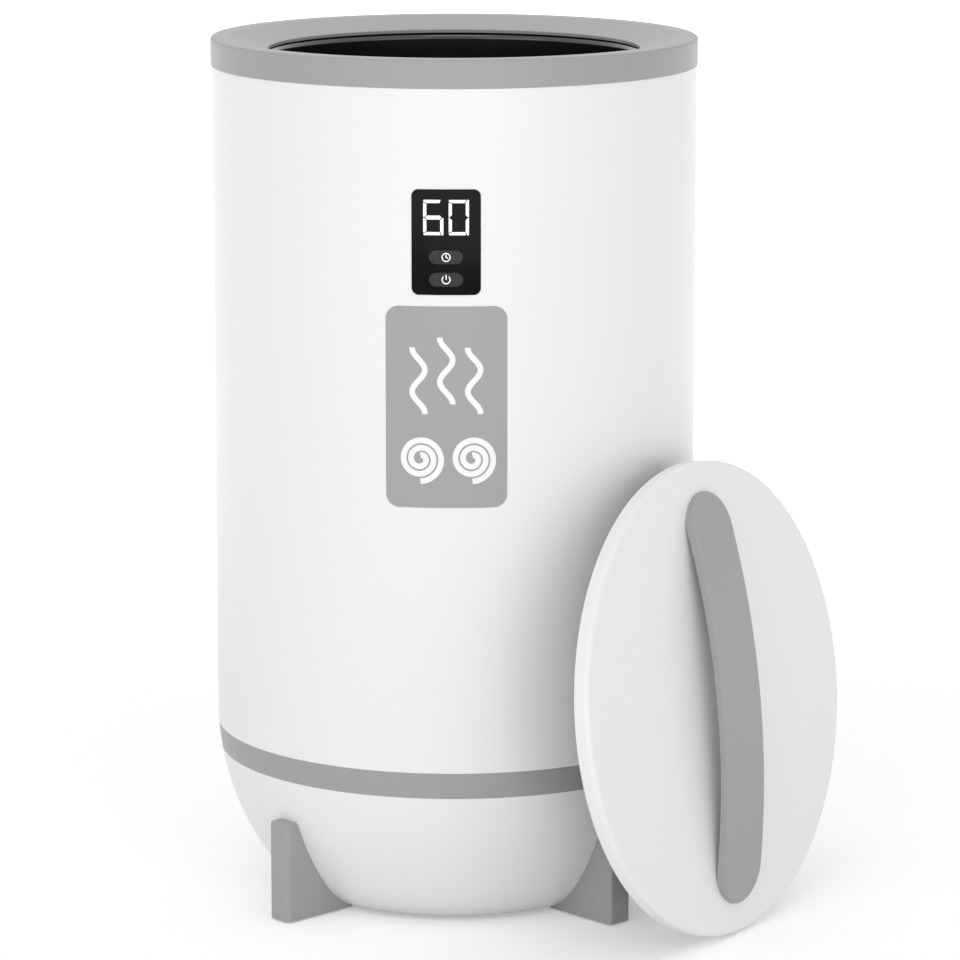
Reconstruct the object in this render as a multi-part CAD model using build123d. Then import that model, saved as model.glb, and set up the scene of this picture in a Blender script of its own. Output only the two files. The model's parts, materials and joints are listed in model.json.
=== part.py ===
"""Towel warmer bucket with its lid taken off and leaning on its side.

Millimetres, +Z up. The origin is on the floor, on the bucket's axis, and the front faces -Y.
A place "turned" by an angle is that far round the axis from the front, towards +X.
"""
from math import asin, cos, degrees, pi, radians, sin, sqrt
import os

from build123d import *

# ---------------------------------------------------------------- driving sizes
height = 536.0                # floor to the top of the rim
rim_overhang = 0.5            # how far the rim stands out past the body
rim_depth = 17.2              # height of the grey band that shows outside
rim_flat = 10.5               # flat top of the rim, before it slopes inwards
rim_roof = 4.0                # thickness under the flat top
rim_edge_round = 1.6
rim_small_round = 0.6
rim_skirt = 2.2               # locating skirt inside the body
rim_skirt_depth = 10.8        # how far that skirt reaches down past the rim
mouth_set_in = 35.2           # mouth's edge inside the body's outer face
mouth_drop = 7.2              # how far the sloping mouth falls
lip_thickness = 2.0
lip_round = 0.8

body_radius = 149.5
body_wall = 2.2

pot_set_in = 35.9             # inside of the inner pot, from the body's outer face
pot_wall = 1.2
pot_floor_height = 108.0      # floor to the inside of the pot's bottom
pot_corner = 8.0
pot_flange = 8.4              # width of the turned out top edge
pot_bead = 4.0                # rounding where the pot's wall turns out into its edge
flange_side_gap = 0.6         # between the pot's flange and the rim beside it

collar_thickness = 2.2
collar_inner_gap = 1.2        # between the collar and the pot
collar_screw_set_in = 16.5    # from the body's outer face
collar_screw_count = 6
collar_boss_radius = 4.5

band_top = 106.4
band_bottom = 90.2
tongue = 2.2                  # thickness of the band's locating tongues
tongue_reach = 9.6            # how far the upper tongue goes into the body
lower_tongue_reach = 7.2
band_shelf = 7.8              # height of the shelf that joins the two tongues

bowl_spring = 115.7           # height where the bowl starts to curve in
bowl_big_radius = 163.0
bowl_dip = 7.94               # how far the curve would go below its flat bottom
bowl_turn_change = 36.0       # degrees of the large arc before the small one starts
bowl_clear = 3.1              # flat bottom of the bowl above the floor
bowl_wall = 2.5
bowl_floor = 5.0

cover_radius = 86.0           # bottom cover's flange
cover_flange_width = 8.0
cover_flange = 2.9
cover_screw_count = 6
cover_screw_turn = 30.0
cover_screw_sink = 1.6
cover_post_radius = 3.6
cover_post_top = 15.0
cover_lip = 1.0               # bowl's floor above the cover's inner face
vent_count = 24
vent_width = 2.6
vent_length = 20.0
vent_set_in = 14.0            # outer end of the vents from the cover's edge

foot_count = 4
foot_first_turn = 45.0
foot_set_in = 1.0             # outer face of a foot inside the body's outer face
foot_width = 17.4
foot_height = 63.0
foot_clear = 1.0              # hard foot above the floor, on its pad
foot_length = 52.5
foot_round = 2.6
foot_screw_set_in = 22.5      # from the outer face of the foot
foot_screw_seat = 50.0        # height of the screw's seat inside the bowl
foot_screw_length = 34.0
foot_post_radius = 6.0
foot_post_bottom = 20.0
pad_width = 12.4
pad_length = 32.0
pad_set_in = 4.5              # from the outer face of the foot
pad_thickness = 2.6
pad_corner = 2.0

plate_set_in = 31.6           # edge of the heating plate inside the pot's wall
plate_thickness = 4.0
plate_stud_set_in = 16.0      # from the plate's edge
plate_stud_count = 4
plate_stud_length = 10.0
plate_stud_radius = 2.0
plate_edge_round = 1.0
nut_radius = 4.04             # across its corners, halved
nut_height = 3.2
belt_thickness = 1.0          # heating belt round the pot
belt_rise = 18.0              # above the inside of the pot's bottom
belt_height = 204.0
wrap_thickness = 10.0         # fibre insulation
wrap_rise = 5.0               # above the belt's lower edge
wrap_drop = 16.6              # its top below the collar
thermostat_radius = 8.0
thermostat_height = 7.6
thermostat_out = 28.0         # from the axis, to the right
blade_size = (4.8, 0.8, 6.0)
blade_spacing = 8.0
fuse_radius = 2.4
fuse_length = 14.0
fuse_out = 28.0               # from the axis, to the left
saddle_width = 7.2
saddle_length = 5.0

shield_height = 84.0
shield_thickness = 1.5
shield_edge_gap = 1.5         # from the band's tongue
shield_post_set_in = 45.5     # from the body's outer face
shield_post_count = 4
shield_post_radius = 5.0
shield_post_turn = 45.0
shield_post_bottom = 4.0

panel_width = 40.6
panel_height = 62.4
panel_corner = 4.1
panel_drop = 107.4            # its middle below the top of the rim
panel_proud = 0.4
digit_width = 12.4
digit_height = 21.4
digit_stroke = 2.4
digit_gap = 0.5
digit_slope = 0.62            # slope where two bars meet at a corner, of the stroke
digit_nick = 0.16             # of the stroke, cut off a digit's corner
digit_tip = 0.4               # pointed end of the middle bar, of the stroke
digit_half = 0.6              # middle bar's half height, of the stroke
digit_pitch = 15.0
digit_lift = 14.7             # middle of the digits above the panel's middle
button_width = 20.4
button_height = 8.7
button_proud = 0.3            # in front of the panel
button_travel = 0.8
button_flange = 0.9           # thickness of the flange that keeps it behind the panel
button_lip = 0.8              # how far that flange stands out
timer_drop = 8.8              # middle of the timer button below the panel's middle
power_drop = 22.1
symbol_radius = 2.65
symbol_stroke = 0.6
clock_hand = 0.62             # of the symbol's radius
clock_hand_turn = 25.0        # degrees that the lower hand hangs below level
power_bar = 1.12              # of the symbol's radius
symbol_depth = 0.4
button_edge_round = 0.35
stem_radius = 2.0
stem_gap = 0.2                # left between a pressed button's stem and its switch
frame_wall = 5.0
frame_lap = 1.0               # the frame's opening is this much smaller than the panel
frame_depth = 12.4            # from the body's inner face to the control board
gasket_thickness = 0.5
switch_size = 6.0
switch_height = 3.5
switch_stem = 1.7
switch_stem_radius = 1.7
block_margin = 1.5            # digit block beyond the digits at their sides
block_rise = 2.0              # and above and below them
cable_socket_width = 9.0
cable_socket_height = 6.0
board_thickness = 1.6

label_width = 72.0
label_height = 121.0
label_corner = 8.0
label_drop = 206.0            # its middle below the top of the rim
label_thickness = 0.25

lid_set_in = 5.5              # lid's edge inside the rim's
lid_thickness = 10.0
lid_wall = 2.2
lid_face_round = 3.0
lid_back_round = 1.0
lid_plate = 2.0               # underside plate
lid_plate_inset = 2.6
lid_plug = 23.0               # how far the underside's plug goes down into the mouth
lid_plug_gap = 6.0            # between the plug and the mouth's edge
lid_plug_wall = 2.0
lid_screw_set_in = 6.7        # from the lid's edge
lid_screw_count = 6
lid_boss_radius = 3.6
lid_plug_round = 1.5
lid_tilt = 7.9                # degrees from upright
lid_turn = 57.6               # way it faces, from the front
lid_side_shift = -5.3         # centre of the lid to the side of the line through the axis

handle_length = 252.5
handle_width = 42.6
handle_thickness = 5.0
handle_rise = 17.0            # top of the arch above the lid
handle_end_rise = 2.5         # same at its ends
handle_foot = 16.0            # length of each end that lies on the lid
handle_edge = 0.8
handle_turn = 2.4             # degrees off the lid's upright line
handle_screw_spacing = 18.0
handle_screw_inset = 11.0     # from the end of the handle

power_board_width = 92.0
power_board_depth = 62.0
power_board_height = 28.0     # its underside above the floor
board_hole_inset = 4.0
board_corner = 2.0
board_post_radius = 4.0
relay_size = (19.0, 15.5, 15.2)
relay_place = (18.0, 12.0)
core_size = (22.0, 9.0, 16.0)
coil_size = (15.0, 18.0, 12.0)
transformer_place = (20.0, -10.0)
terminal_size = (20.0, 9.0, 10.0)
terminal_place = (-12.0, 20.0)
terminal_pitch = 6.4
terminal_slot = 3.6
terminal_chamfer = 1.5
capacitor_radius = 5.0
capacitor_height = 16.0
capacitor_place = (-37.0, 0.0)
lead_socket_size = (11.0, 7.0, 7.0)
lead_socket_back = 26.0       # its middle in front of the axis
heater_lead_place = (-28.0, 12.0)
component_round = 1.0

cord_bush_height = 47.0
cord_bush_radius = 7.0
cord_bush_flange = 2.0
cord_bush_lip = 3.0
cord_bush_depth = 10.0
cord_slot_width = 5.6
cord_slot_height = 3.6

cable_radius = 2.0            # lead from the power board to the display
cable_turn_out = 12.0         # sideways place of that lead
cable_set_in = 18.5           # its distance from the body's outer face
cable_end_drop = 3.0          # its upper end below the display panel
lead_radius = 1.5
lead_tuck = 2.0               # how far a lead goes into its terminal

# screws
screw_radius = 1.5
screw_head_radius = 3.0
screw_head_height = 2.0
low_head_height = 1.4
clear_hole_radius = 1.7
collar_screw_length = 7.0
cover_screw_length = 9.0
shield_screw_length = 9.0
board_screw_length = 8.0
lid_screw_length = 7.0
handle_screw_length = 5.6
foot_screw_radius = 2.0
foot_screw_head_radius = 4.0
foot_screw_head_height = 2.6
tiny_screw_radius = 1.0
tiny_head_radius = 1.9
tiny_head_height = 1.2
tiny_screw_length = 5.0
drive_width = 0.7             # cross recess of a screw
drive_depth = 0.6
head_round = 0.4              # of a screw head's height
pilot_spare = 0.4             # pilot hole beyond a screw's tip

# clearances
seat_gap = 0.1                # parts that nest in each other
skin_gap = 0.05               # between curved faces that lie on each other
window_gap = 0.15             # round the panel and its buttons
loose_gap = 0.3               # lid to body, lid to floor
screw_gap = 0.05              # round a screw's shank
well_gap = 0.6                # round a screw's head in its well
far = 400.0                   # longer than anything it cuts

# ---------------------------------------------------------------- derived places
rim_radius = body_radius + rim_overhang
rim_bottom = height - rim_depth
mouth_radius = body_radius - mouth_set_in
lip_top = height - mouth_drop
lip_bottom = lip_top - lip_thickness
body_inner = body_radius - body_wall

pot_radius = body_radius - pot_set_in
pot_outer = pot_radius + pot_wall
pot_bottom = pot_floor_height - pot_wall
flange_bottom = lip_bottom - lip_thickness
flange_radius = pot_radius + pot_flange
collar_bottom = flange_bottom - collar_thickness
collar_screw_circle = body_radius - collar_screw_set_in

plate_radius = pot_radius - plate_set_in
plate_top = pot_bottom - seat_gap
plate_bottom = plate_top - plate_thickness
plate_stud_circle = plate_radius - plate_stud_set_in
belt_outer = pot_outer + seat_gap + belt_thickness
belt_bottom = pot_floor_height + belt_rise
belt_top = belt_bottom + belt_height
belt_lead_track = belt_outer + lead_radius + screw_gap
wrap_bottom = belt_bottom + wrap_rise
wrap_top = collar_bottom - wrap_drop

band_inner = body_inner - seat_gap - tongue
bowl_floor_top = bowl_clear + bowl_floor
bowl_step = sin(radians(bowl_turn_change))
bowl_fall = bowl_spring - bowl_big_radius * bowl_step - bowl_clear + bowl_dip
bowl_small_radius = bowl_fall / (1 - bowl_step)
cover_plug_radius = cover_radius - cover_flange_width
cover_screw_circle = (cover_radius + cover_plug_radius) / 2
vent_outer_radius = cover_radius - vent_set_in
vent_inner_radius = vent_outer_radius - vent_length
foot_reach = body_radius - foot_set_in
foot_toe = foot_reach - foot_length
foot_screw_circle = foot_reach - foot_screw_set_in
pad_outer = foot_reach - pad_set_in
pad_inner = pad_outer - pad_length
shield_top = shield_height + shield_thickness
shield_post_circle = body_radius - shield_post_set_in
board_top = power_board_height + board_thickness

panel_centre = height - panel_drop
label_centre = height - label_drop
lens_outer = body_radius + panel_proud
button_face = lens_outer + button_proud
frame_front = body_inner - gasket_thickness
board_front = body_inner - frame_depth
board_back = board_front - board_thickness
timer_height = panel_centre - timer_drop
power_height = panel_centre - power_drop
digits_height = panel_centre + digit_lift
cable_track = body_radius - cable_set_in
cable_top = panel_centre - panel_height / 2 - cable_end_drop

lid_radius = rim_radius - lid_set_in
lid_plug_radius = mouth_radius - lid_plug_gap
lid_screw_circle = lid_radius - lid_screw_set_in
release = 1.0                 # how far a cutting shape runs past what it cuts
tiny_turn = 1e-6              # degrees, to be surely on one side of a change


# ---------------------------------------------------------------- helpers
def lathe(*corners):
    """Turned solid: each corner is (radius, height) or (radius, height, rounding)."""
    points = [corner[:2] for corner in corners]
    rounds = [corner[2] if len(corner) > 2 else 0 for corner in corners]
    outline = FilletPolyline(*points, radius=rounds, close=True)
    return revolve(Plane.XZ * make_face(outline), axis=Axis.Z)


def tube(inner, outer, low, high):
    return lathe((inner, low), (outer, low), (outer, high), (inner, high))


def rod(radius, x, y, low, high):
    return Pos(x, y, (low + high) / 2) * Cylinder(radius, high - low)


def turned(shape, angle):
    return Rot(0, 0, angle) * shape


def ring_of(shape, count, first=0.0):
    return [turned(shape, first + 360 * index / count) for index in range(count)]


def front_block(sketch, centre_height, near, far_out):
    """Prism through the front wall, between two distances from the axis."""
    return extrude(Plane.XZ.offset(near) * Pos(0, centre_height) * sketch, amount=far_out - near)


def front_skin(sketch, centre_height, inner, outer):
    """Piece of a wall round the axis with the sketch as its outline."""
    wall = tube(inner, outer, centre_height - far / 2, centre_height + far / 2)
    return front_block(sketch, centre_height, inner / 2, outer + release) & wall


def screw(head_radius, head_height, shank_radius, length):
    """Pan head screw, head up, with its seat at z = 0."""
    head = rod(head_radius, 0, 0, 0, head_height)
    head = fillet(head.edges().sort_by(Axis.Z)[-1], head_height * head_round)
    slot = Box(head_radius, drive_width, 2 * drive_depth) + Box(drive_width, head_radius, 2 * drive_depth)
    return head - Pos(0, 0, head_height) * slot + rod(shank_radius, 0, 0, -length, 0)


def pan_screw(length, head_height=screw_head_height):
    return screw(screw_head_radius, head_height, screw_radius, length)


def pilot(x, y, low, high):
    """Form of the hole that a screw's thread fills."""
    return rod(screw_radius + screw_gap, x, y, low, high)


def without(shape, cuts):
    for cut in cuts:
        shape -= cut
    return shape


def export(name, shape):
    solids = shape if isinstance(shape, list) else [shape]
    solids = [solid for item in solids for solid in item.solids()]
    whole = solids[0] if len(solids) == 1 else Compound(solids)
    export_step(whole, f"parts/{name}.step")


# ---------------------------------------------------------------- the bowl's curve
def bowl_point(turn, inset=0.0):
    """Point (radius, height) on the bowl's curve, inset from its outer face."""
    big = bowl_big_radius - inset
    centre = (body_radius - bowl_big_radius, bowl_spring)
    if turn > bowl_turn_change:
        step = bowl_big_radius - bowl_small_radius
        change = radians(bowl_turn_change)
        centre = (centre[0] + step * cos(change), centre[1] - step * sin(change))
        big = bowl_small_radius - inset
    return (centre[0] + big * cos(radians(turn)), centre[1] - big * sin(radians(turn)))


def bowl_turn(at_height, inset=0.0):
    """Turn at which the bowl's curve reaches a height."""
    turn = degrees(asin(min(1.0, (bowl_spring - at_height) / (bowl_big_radius - inset))))
    if turn <= bowl_turn_change:
        return turn
    small_centre = bowl_spring - (bowl_big_radius - bowl_small_radius) * sin(radians(bowl_turn_change))
    return degrees(asin((small_centre - at_height) / (bowl_small_radius - inset)))


def bowl_radius(at_height, inset=0.0):
    return bowl_point(bowl_turn(at_height, inset), inset)[0]


def bowl_arc(first, last, inset):
    middle = (first + last) / 2
    return ThreePointArc(bowl_point(first, inset), bowl_point(middle, inset), bowl_point(last, inset))


def bowl_form(inset, low, high):
    """Solid inside the bowl's curve, inset from its outer face, between two heights."""
    top = bowl_turn(high, inset)
    end = bowl_turn(low, inset)
    change_high = bowl_turn_change - tiny_turn
    change_low = bowl_turn_change + tiny_turn
    top_point = bowl_point(top, inset)
    end_point = bowl_point(end, inset)
    edges = [Line((0, high), top_point)]
    if end > bowl_turn_change:
        join = bowl_point(change_high, inset)
        upper = ThreePointArc(top_point, bowl_point((top + change_high) / 2, inset), join)
        lower = ThreePointArc(join, bowl_point((change_low + end) / 2, inset), end_point)
        edges += [upper, lower]
    else:
        edges += [bowl_arc(top, end, inset)]
    edges += [Line(end_point, (0, low)), Line((0, low), (0, high))]
    return revolve(Plane.XZ * make_face(edges), axis=Axis.Z)


# ---------------------------------------------------------------- rim, pot and body
def rim_ring():
    inner_skirt = body_inner - seat_gap
    skirt_end = rim_bottom - rim_skirt_depth
    under = height - rim_roof
    ring = lathe(
        (rim_radius, rim_bottom, rim_small_round),
        (rim_radius, height, rim_edge_round),
        (rim_radius - rim_flat, height, rim_small_round),
        (mouth_radius, lip_top, lip_round),
        (mouth_radius, lip_bottom),
        (flange_radius + flange_side_gap, lip_bottom),
        (rim_radius - rim_flat, under),
        (inner_skirt - rim_skirt, under),
        (inner_skirt - rim_skirt, skirt_end),
        (inner_skirt, skirt_end),
        (inner_skirt, rim_bottom),
    )
    boss = rod(collar_boss_radius, 0, -collar_screw_circle, flange_bottom, under)
    for place in ring_of(boss, collar_screw_count):
        ring += place
    hole_end = collar_bottom + collar_screw_length + pilot_spare
    hole = pilot(0, -collar_screw_circle, flange_bottom - release, hole_end)
    return without(ring, ring_of(hole, collar_screw_count))


def pot_collar():
    inner_skirt = body_inner - seat_gap - rim_skirt
    collar = tube(pot_outer + collar_inner_gap, inner_skirt - loose_gap, collar_bottom, flange_bottom)
    hole = rod(clear_hole_radius, 0, -collar_screw_circle, collar_bottom - release, flange_bottom + release)
    return without(collar, ring_of(hole, collar_screw_count))


def collar_screws():
    upside_down = Rot(180, 0, 0) * pan_screw(collar_screw_length)
    return ring_of(Pos(0, -collar_screw_circle, collar_bottom) * upside_down, collar_screw_count)


def liner_pot():
    pot = lathe(
        (0, pot_bottom),
        (pot_outer, pot_bottom, pot_corner + pot_wall),
        (pot_outer, flange_bottom, collar_inner_gap),
        (flange_radius, flange_bottom),
        (flange_radius, lip_bottom),
        (pot_radius, lip_bottom, pot_bead),
        (pot_radius, pot_floor_height, pot_corner),
        (0, pot_floor_height),
    )
    stud_end = pot_bottom - plate_stud_length
    stud = rod(plate_stud_radius, 0, -plate_stud_circle, stud_end, pot_bottom + pot_wall / 2)
    for place in ring_of(stud, plate_stud_count):
        pot += place
    return pot


def body_shell():
    shell = tube(body_inner, body_radius, band_top, rim_bottom)
    grow = 2 * window_gap
    window = RectangleRounded(panel_width + grow, panel_height + grow, panel_corner + window_gap)
    return shell - front_block(window, panel_centre, body_inner / 2, body_radius + release)


def trim_band():
    """Grey band on the bowl's curve, with one tongue up into the body and one down into the bowl."""
    low_turn, high_turn = bowl_turn(band_bottom), bowl_turn(band_top)
    outer_bottom, outer_top = bowl_point(low_turn), bowl_point(high_turn)
    tongue_outer = body_inner - seat_gap
    lower_end = band_bottom - lower_tongue_reach
    lower_outer = bowl_radius(lower_end, bowl_wall) - seat_gap
    lower_inner = lower_outer - tongue
    shelf = band_bottom + band_shelf
    corners = [
        outer_top,
        (tongue_outer, band_top),
        (tongue_outer, band_top + tongue_reach),
        (band_inner, band_top + tongue_reach),
        (band_inner, shelf),
        (lower_inner, shelf),
        (lower_inner, lower_end),
        (lower_outer, lower_end),
        (lower_outer, band_bottom),
        outer_bottom,
    ]
    edges = [Line(start, end) for start, end in zip(corners, corners[1:])]
    edges.append(bowl_arc(low_turn, high_turn, 0))
    return revolve(Plane.XZ * make_face(edges), axis=Axis.Z)


def insulation_wrap():
    inner = belt_outer + seat_gap
    return tube(inner, inner + wrap_thickness, wrap_bottom, wrap_top)


def heater_belt():
    return tube(pot_outer + seat_gap, belt_outer, belt_bottom, belt_top)


def heating_plate():
    plate = lathe(
        (0, plate_bottom),
        (plate_radius, plate_bottom, plate_edge_round),
        (plate_radius, plate_top, plate_edge_round),
        (0, plate_top),
    )
    return without(plate, stud_holes(plate_bottom, plate_top))


def stud_holes(low, high):
    hole = rod(plate_stud_radius + screw_gap, 0, -plate_stud_circle, low - release, high + release)
    return ring_of(hole, plate_stud_count)


def plate_nuts():
    low = plate_bottom - nut_height
    nut = Pos(0, -plate_stud_circle, low) * extrude(RegularPolygon(nut_radius, 6), amount=nut_height)
    holes = stud_holes(low, plate_bottom)
    return [piece - hole for piece, hole in zip(ring_of(nut, plate_stud_count), holes)]


def thermostat():
    """Snap disc thermostat with its two blade terminals, clipped under the heating plate."""
    can_bottom = plate_bottom - thermostat_height
    can = rod(thermostat_radius, thermostat_out, 0, can_bottom, plate_bottom)
    for side in (-1, 1):
        blade_drop = (blade_size[2] - component_round) / 2
        can += Pos(thermostat_out, side * blade_spacing / 2, can_bottom - blade_drop) * Box(*blade_size)
    return can


def thermal_fuse():
    fuse = Rot(90, 0, 0) * Cylinder(fuse_radius, fuse_length)
    saddle = Pos(0, 0, fuse_radius / 2) * Box(saddle_width, saddle_length, fuse_radius)
    return Pos(-fuse_out, 0, plate_bottom - fuse_radius) * (fuse + saddle)


# ---------------------------------------------------------------- base
def at_feet(shape):
    return ring_of(shape, foot_count, foot_first_turn)


def at_shield_posts(shape):
    return ring_of(shape, shield_post_count, shield_post_turn)


def at_cover_screws(shape):
    return ring_of(shape, cover_screw_count, cover_screw_turn)


def foot_screw_hole():
    tip = foot_screw_seat - foot_screw_length - pilot_spare
    return rod(foot_screw_radius + screw_gap, 0, -foot_screw_circle, tip, foot_screw_seat + release)


def base_bowl():
    cover_seat = bowl_clear + cover_flange + seat_gap
    outer = bowl_form(0, bowl_clear, band_bottom)
    bowl = outer - bowl_form(bowl_wall, bowl_floor_top, band_bottom)
    bowl -= rod(cover_plug_radius, 0, 0, bowl_clear - release, bowl_floor_top + release)
    bowl -= rod(cover_radius, 0, 0, bowl_clear - release, cover_seat)
    posts = at_feet(rod(foot_post_radius, 0, -foot_screw_circle, foot_post_bottom, foot_screw_seat))
    posts += at_shield_posts(
        rod(shield_post_radius, 0, -shield_post_circle, shield_post_bottom, shield_height))
    posts += at_cover_screws(rod(cover_post_radius, 0, -cover_screw_circle, cover_seat, cover_post_top))
    for post in posts:
        bowl += post & outer
    shield_hole_end = shield_top - shield_screw_length - pilot_spare
    cover_hole_end = bowl_clear + cover_screw_sink + cover_screw_length + pilot_spare
    cuts = at_feet(foot_screw_hole())
    cuts += at_shield_posts(pilot(0, -shield_post_circle, shield_hole_end, shield_height + release))
    cuts += at_cover_screws(pilot(0, -cover_screw_circle, 0, cover_hole_end))
    bush_hole = rod(cord_bush_radius + seat_gap, 0, 0, -cord_bush_depth, cord_bush_depth)
    cuts.append(cord_bush_place() * bush_hole)
    return without(bowl, cuts)


def base_cover():
    """Bottom cover with vent slots, and posts that carry the power board."""
    cover = rod(cover_radius - window_gap, 0, 0, bowl_clear, bowl_clear + cover_flange)
    cover += rod(cover_plug_radius - window_gap, 0, 0, bowl_clear, bowl_floor_top - cover_lip)
    for x, y in board_places():
        cover += rod(board_post_radius, x, y, bowl_clear + cover_flange, power_board_height)
    slot_length = vent_outer_radius - vent_inner_radius
    slot_middle = (vent_outer_radius + vent_inner_radius) / 2
    slot = Pos(0, -slot_middle) * SlotOverall(slot_length, vent_width, 90)
    slot = extrude(slot, amount=power_board_height)
    cover = without(cover, ring_of(slot, vent_count, 180 / vent_count))
    hole_end = board_top - board_screw_length - pilot_spare
    cover = without(cover, [pilot(x, y, hole_end, board_top) for x, y in board_places()])
    through = rod(clear_hole_radius, 0, -cover_screw_circle, 0, bowl_floor_top)
    cover = without(cover, at_cover_screws(through))
    well = rod(screw_head_radius + well_gap, 0, -cover_screw_circle, 0, bowl_clear + cover_screw_sink)
    return without(cover, at_cover_screws(well))


def cover_screws():
    upside_down = Rot(180, 0, 0) * pan_screw(cover_screw_length, low_head_height)
    return at_cover_screws(Pos(0, -cover_screw_circle, bowl_clear + cover_screw_sink) * upside_down)


def pad_form(clearance, thickness):
    width = pad_width + 2 * clearance
    length = pad_outer - pad_inner + 2 * clearance
    block = Pos(0, -(pad_inner + pad_outer) / 2, thickness / 2) * Box(width, length, thickness)
    return fillet(block.edges().filter_by(Axis.Z), pad_corner)


def foot():
    """One grey fin, at the front: flat outside, cut to the bowl inside, with a pocket for its pad."""
    length = foot_reach - foot_toe
    middle = (foot_reach + foot_toe) / 2
    block = Box(foot_width, length, foot_height - foot_clear)
    block = Pos(0, -middle, (foot_height + foot_clear) / 2) * block
    outer_face = block.faces().sort_by(Axis.Y)[0]
    rounded = outer_face.edges().filter_by(Axis.Z) + block.faces().sort_by(Axis.Z)[-1].edges()
    block = fillet(rounded, foot_round)
    block -= bowl_form(0, bowl_clear, bowl_spring - release)
    block -= pad_form(seat_gap, pad_thickness)
    return block - foot_screw_hole()


def foot_pads():
    return at_feet(pad_form(0, pad_thickness))


def foot_screws():
    long_screw = screw(foot_screw_head_radius, foot_screw_head_height, foot_screw_radius, foot_screw_length)
    return at_feet(Pos(0, -foot_screw_circle, foot_screw_seat) * long_screw)


def heat_shield():
    """Disc that keeps the pot's heat off the power board, with notches for the leads."""
    tongue_outer = bowl_radius(band_bottom - lower_tongue_reach, bowl_wall) - seat_gap
    shield_radius = tongue_outer - tongue - shield_edge_gap
    shield = rod(shield_radius, 0, 0, shield_height, shield_top)
    notch_end = cable_track - 6 * cable_radius
    notch_length = shield_radius + release - notch_end
    notch = Box(4 * cable_radius, notch_length, 4 * shield_thickness)
    hatch = Box(4 * lead_radius, 4 * lead_radius, 4 * shield_thickness)
    cuts = at_shield_posts(rod(clear_hole_radius, 0, -shield_post_circle, 0, height))
    cuts.append(Pos(cable_turn_out, -(notch_end + notch_length / 2), shield_height) * notch)
    cuts.append(Pos(0, belt_lead_track, shield_height) * hatch)
    cuts += [rod(2 * lead_radius, x, y, 0, height) for x, y in heater_lead_places()]
    return without(shield, cuts)


def shield_screws():
    return at_shield_posts(Pos(0, -shield_post_circle, shield_top) * pan_screw(shield_screw_length))


# ---------------------------------------------------------------- power board and wiring
def board_places():
    x = power_board_width / 2 - board_hole_inset
    y = power_board_depth / 2 - board_hole_inset
    return [(sx * x, sy * y) for sx in (-1, 1) for sy in (-1, 1)]


def heater_lead_places():
    x, y = heater_lead_place
    return [(x, y), (x, -y)]


def power_board():
    board = Pos(0, 0, board_top - board_thickness / 2)
    board = board * Box(power_board_width, power_board_depth, board_thickness)
    board = fillet(board.edges().filter_by(Axis.Z), board_corner)
    return without(board, [rod(clear_hole_radius, x, y, 0, height) for x, y in board_places()])


def power_board_screws():
    return [Pos(x, y, board_top) * pan_screw(board_screw_length) for x, y in board_places()]


def on_power_board(shape, tall, place):
    """Stand a centred shape of that height on the board."""
    return Pos(*place, board_top + tall / 2) * shape


def relay():
    body = fillet(Box(*relay_size).edges().filter_by(Axis.Z), component_round)
    return on_power_board(body, relay_size[2], relay_place)


def transformer():
    return on_power_board(Box(*core_size) + Box(*coil_size), core_size[2], transformer_place)


def terminal_block():
    """Three terminals, each with a screw well on top and a slot for its lead at the back."""
    wide, deep, tall = terminal_size
    block = Box(wide, deep, tall)
    block = chamfer(block.edges().group_by(Axis.Z)[-1].filter_by(Axis.X), terminal_chamfer)
    slot_rise = terminal_slot + terminal_slot / 2 - tall / 2
    for step in (-1, 0, 1):
        block -= Pos(step * terminal_pitch, 0, tall / 2) * Cylinder(terminal_slot / 2, terminal_slot)
        block -= Pos(step * terminal_pitch, deep / 2, slot_rise) * Box(terminal_slot, deep, terminal_slot)
    return on_power_board(block, tall, terminal_place)


def capacitor():
    can = Cylinder(capacitor_radius, capacitor_height)
    can = fillet(can.edges().sort_by(Axis.Z)[-1], component_round)
    return on_power_board(can, capacitor_height, capacitor_place)


def lead_socket():
    return on_power_board(Box(*lead_socket_size), lead_socket_size[2], (cable_turn_out, -lead_socket_back))


def swept(points, radii, radius):
    """Round lead along straight runs joined by arcs, one radius for each corner."""
    path = FilletPolyline(*points, radius=radii)
    lead = sweep(Plane(origin=path @ 0, z_dir=path % 0) * Circle(radius), path=path)
    solid_length = lead.volume / (pi * radius**2)
    print("lead along", round(path.length), "mm, arcs of", radii, "mm, solid length", round(solid_length))
    return lead


def display_cable():
    """Lead from the power board's socket, up between the pot and the body, to the control board."""
    low = board_top + lead_socket_size[2] / 2
    points = [
        (cable_turn_out, -lead_socket_back - lead_socket_size[1] / 2, low),
        (cable_turn_out, -62, low),
        (cable_turn_out, -108, low + 22),
        (cable_turn_out, -cable_track, shield_height + 8),
        (cable_turn_out, -cable_track, cable_top),
    ]
    return swept(points, [30, 40, 40], cable_radius)


def heater_leads():
    return [rod(lead_radius, x, y, board_top, plate_bottom) for x, y in heater_lead_places()]


def belt_lead():
    """Lead from the heating belt's lower edge down to a slot of the terminal block."""
    across = terminal_place[0] + terminal_pitch
    end = terminal_place[1] + terminal_size[1] / 2 - lead_tuck
    low = board_top + terminal_slot + terminal_slot / 2
    points = [
        (0, belt_lead_track, wrap_bottom - seat_gap),
        (0, belt_lead_track, 66),
        (across, 82, low + 6),
        (across, 52, low),
        (across, end, low),
    ]
    return swept(points, [24, 24, 30], lead_radius)


def cord_bush_place():
    """Where the bush goes through the bowl's wall at the back, square to the wall."""
    turn = bowl_turn(cord_bush_height)
    reach, rise = bowl_point(turn)
    return Rot(0, 0, 180) * Pos(0, -reach, rise) * Rot(90 + turn, 0, 0)


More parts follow.
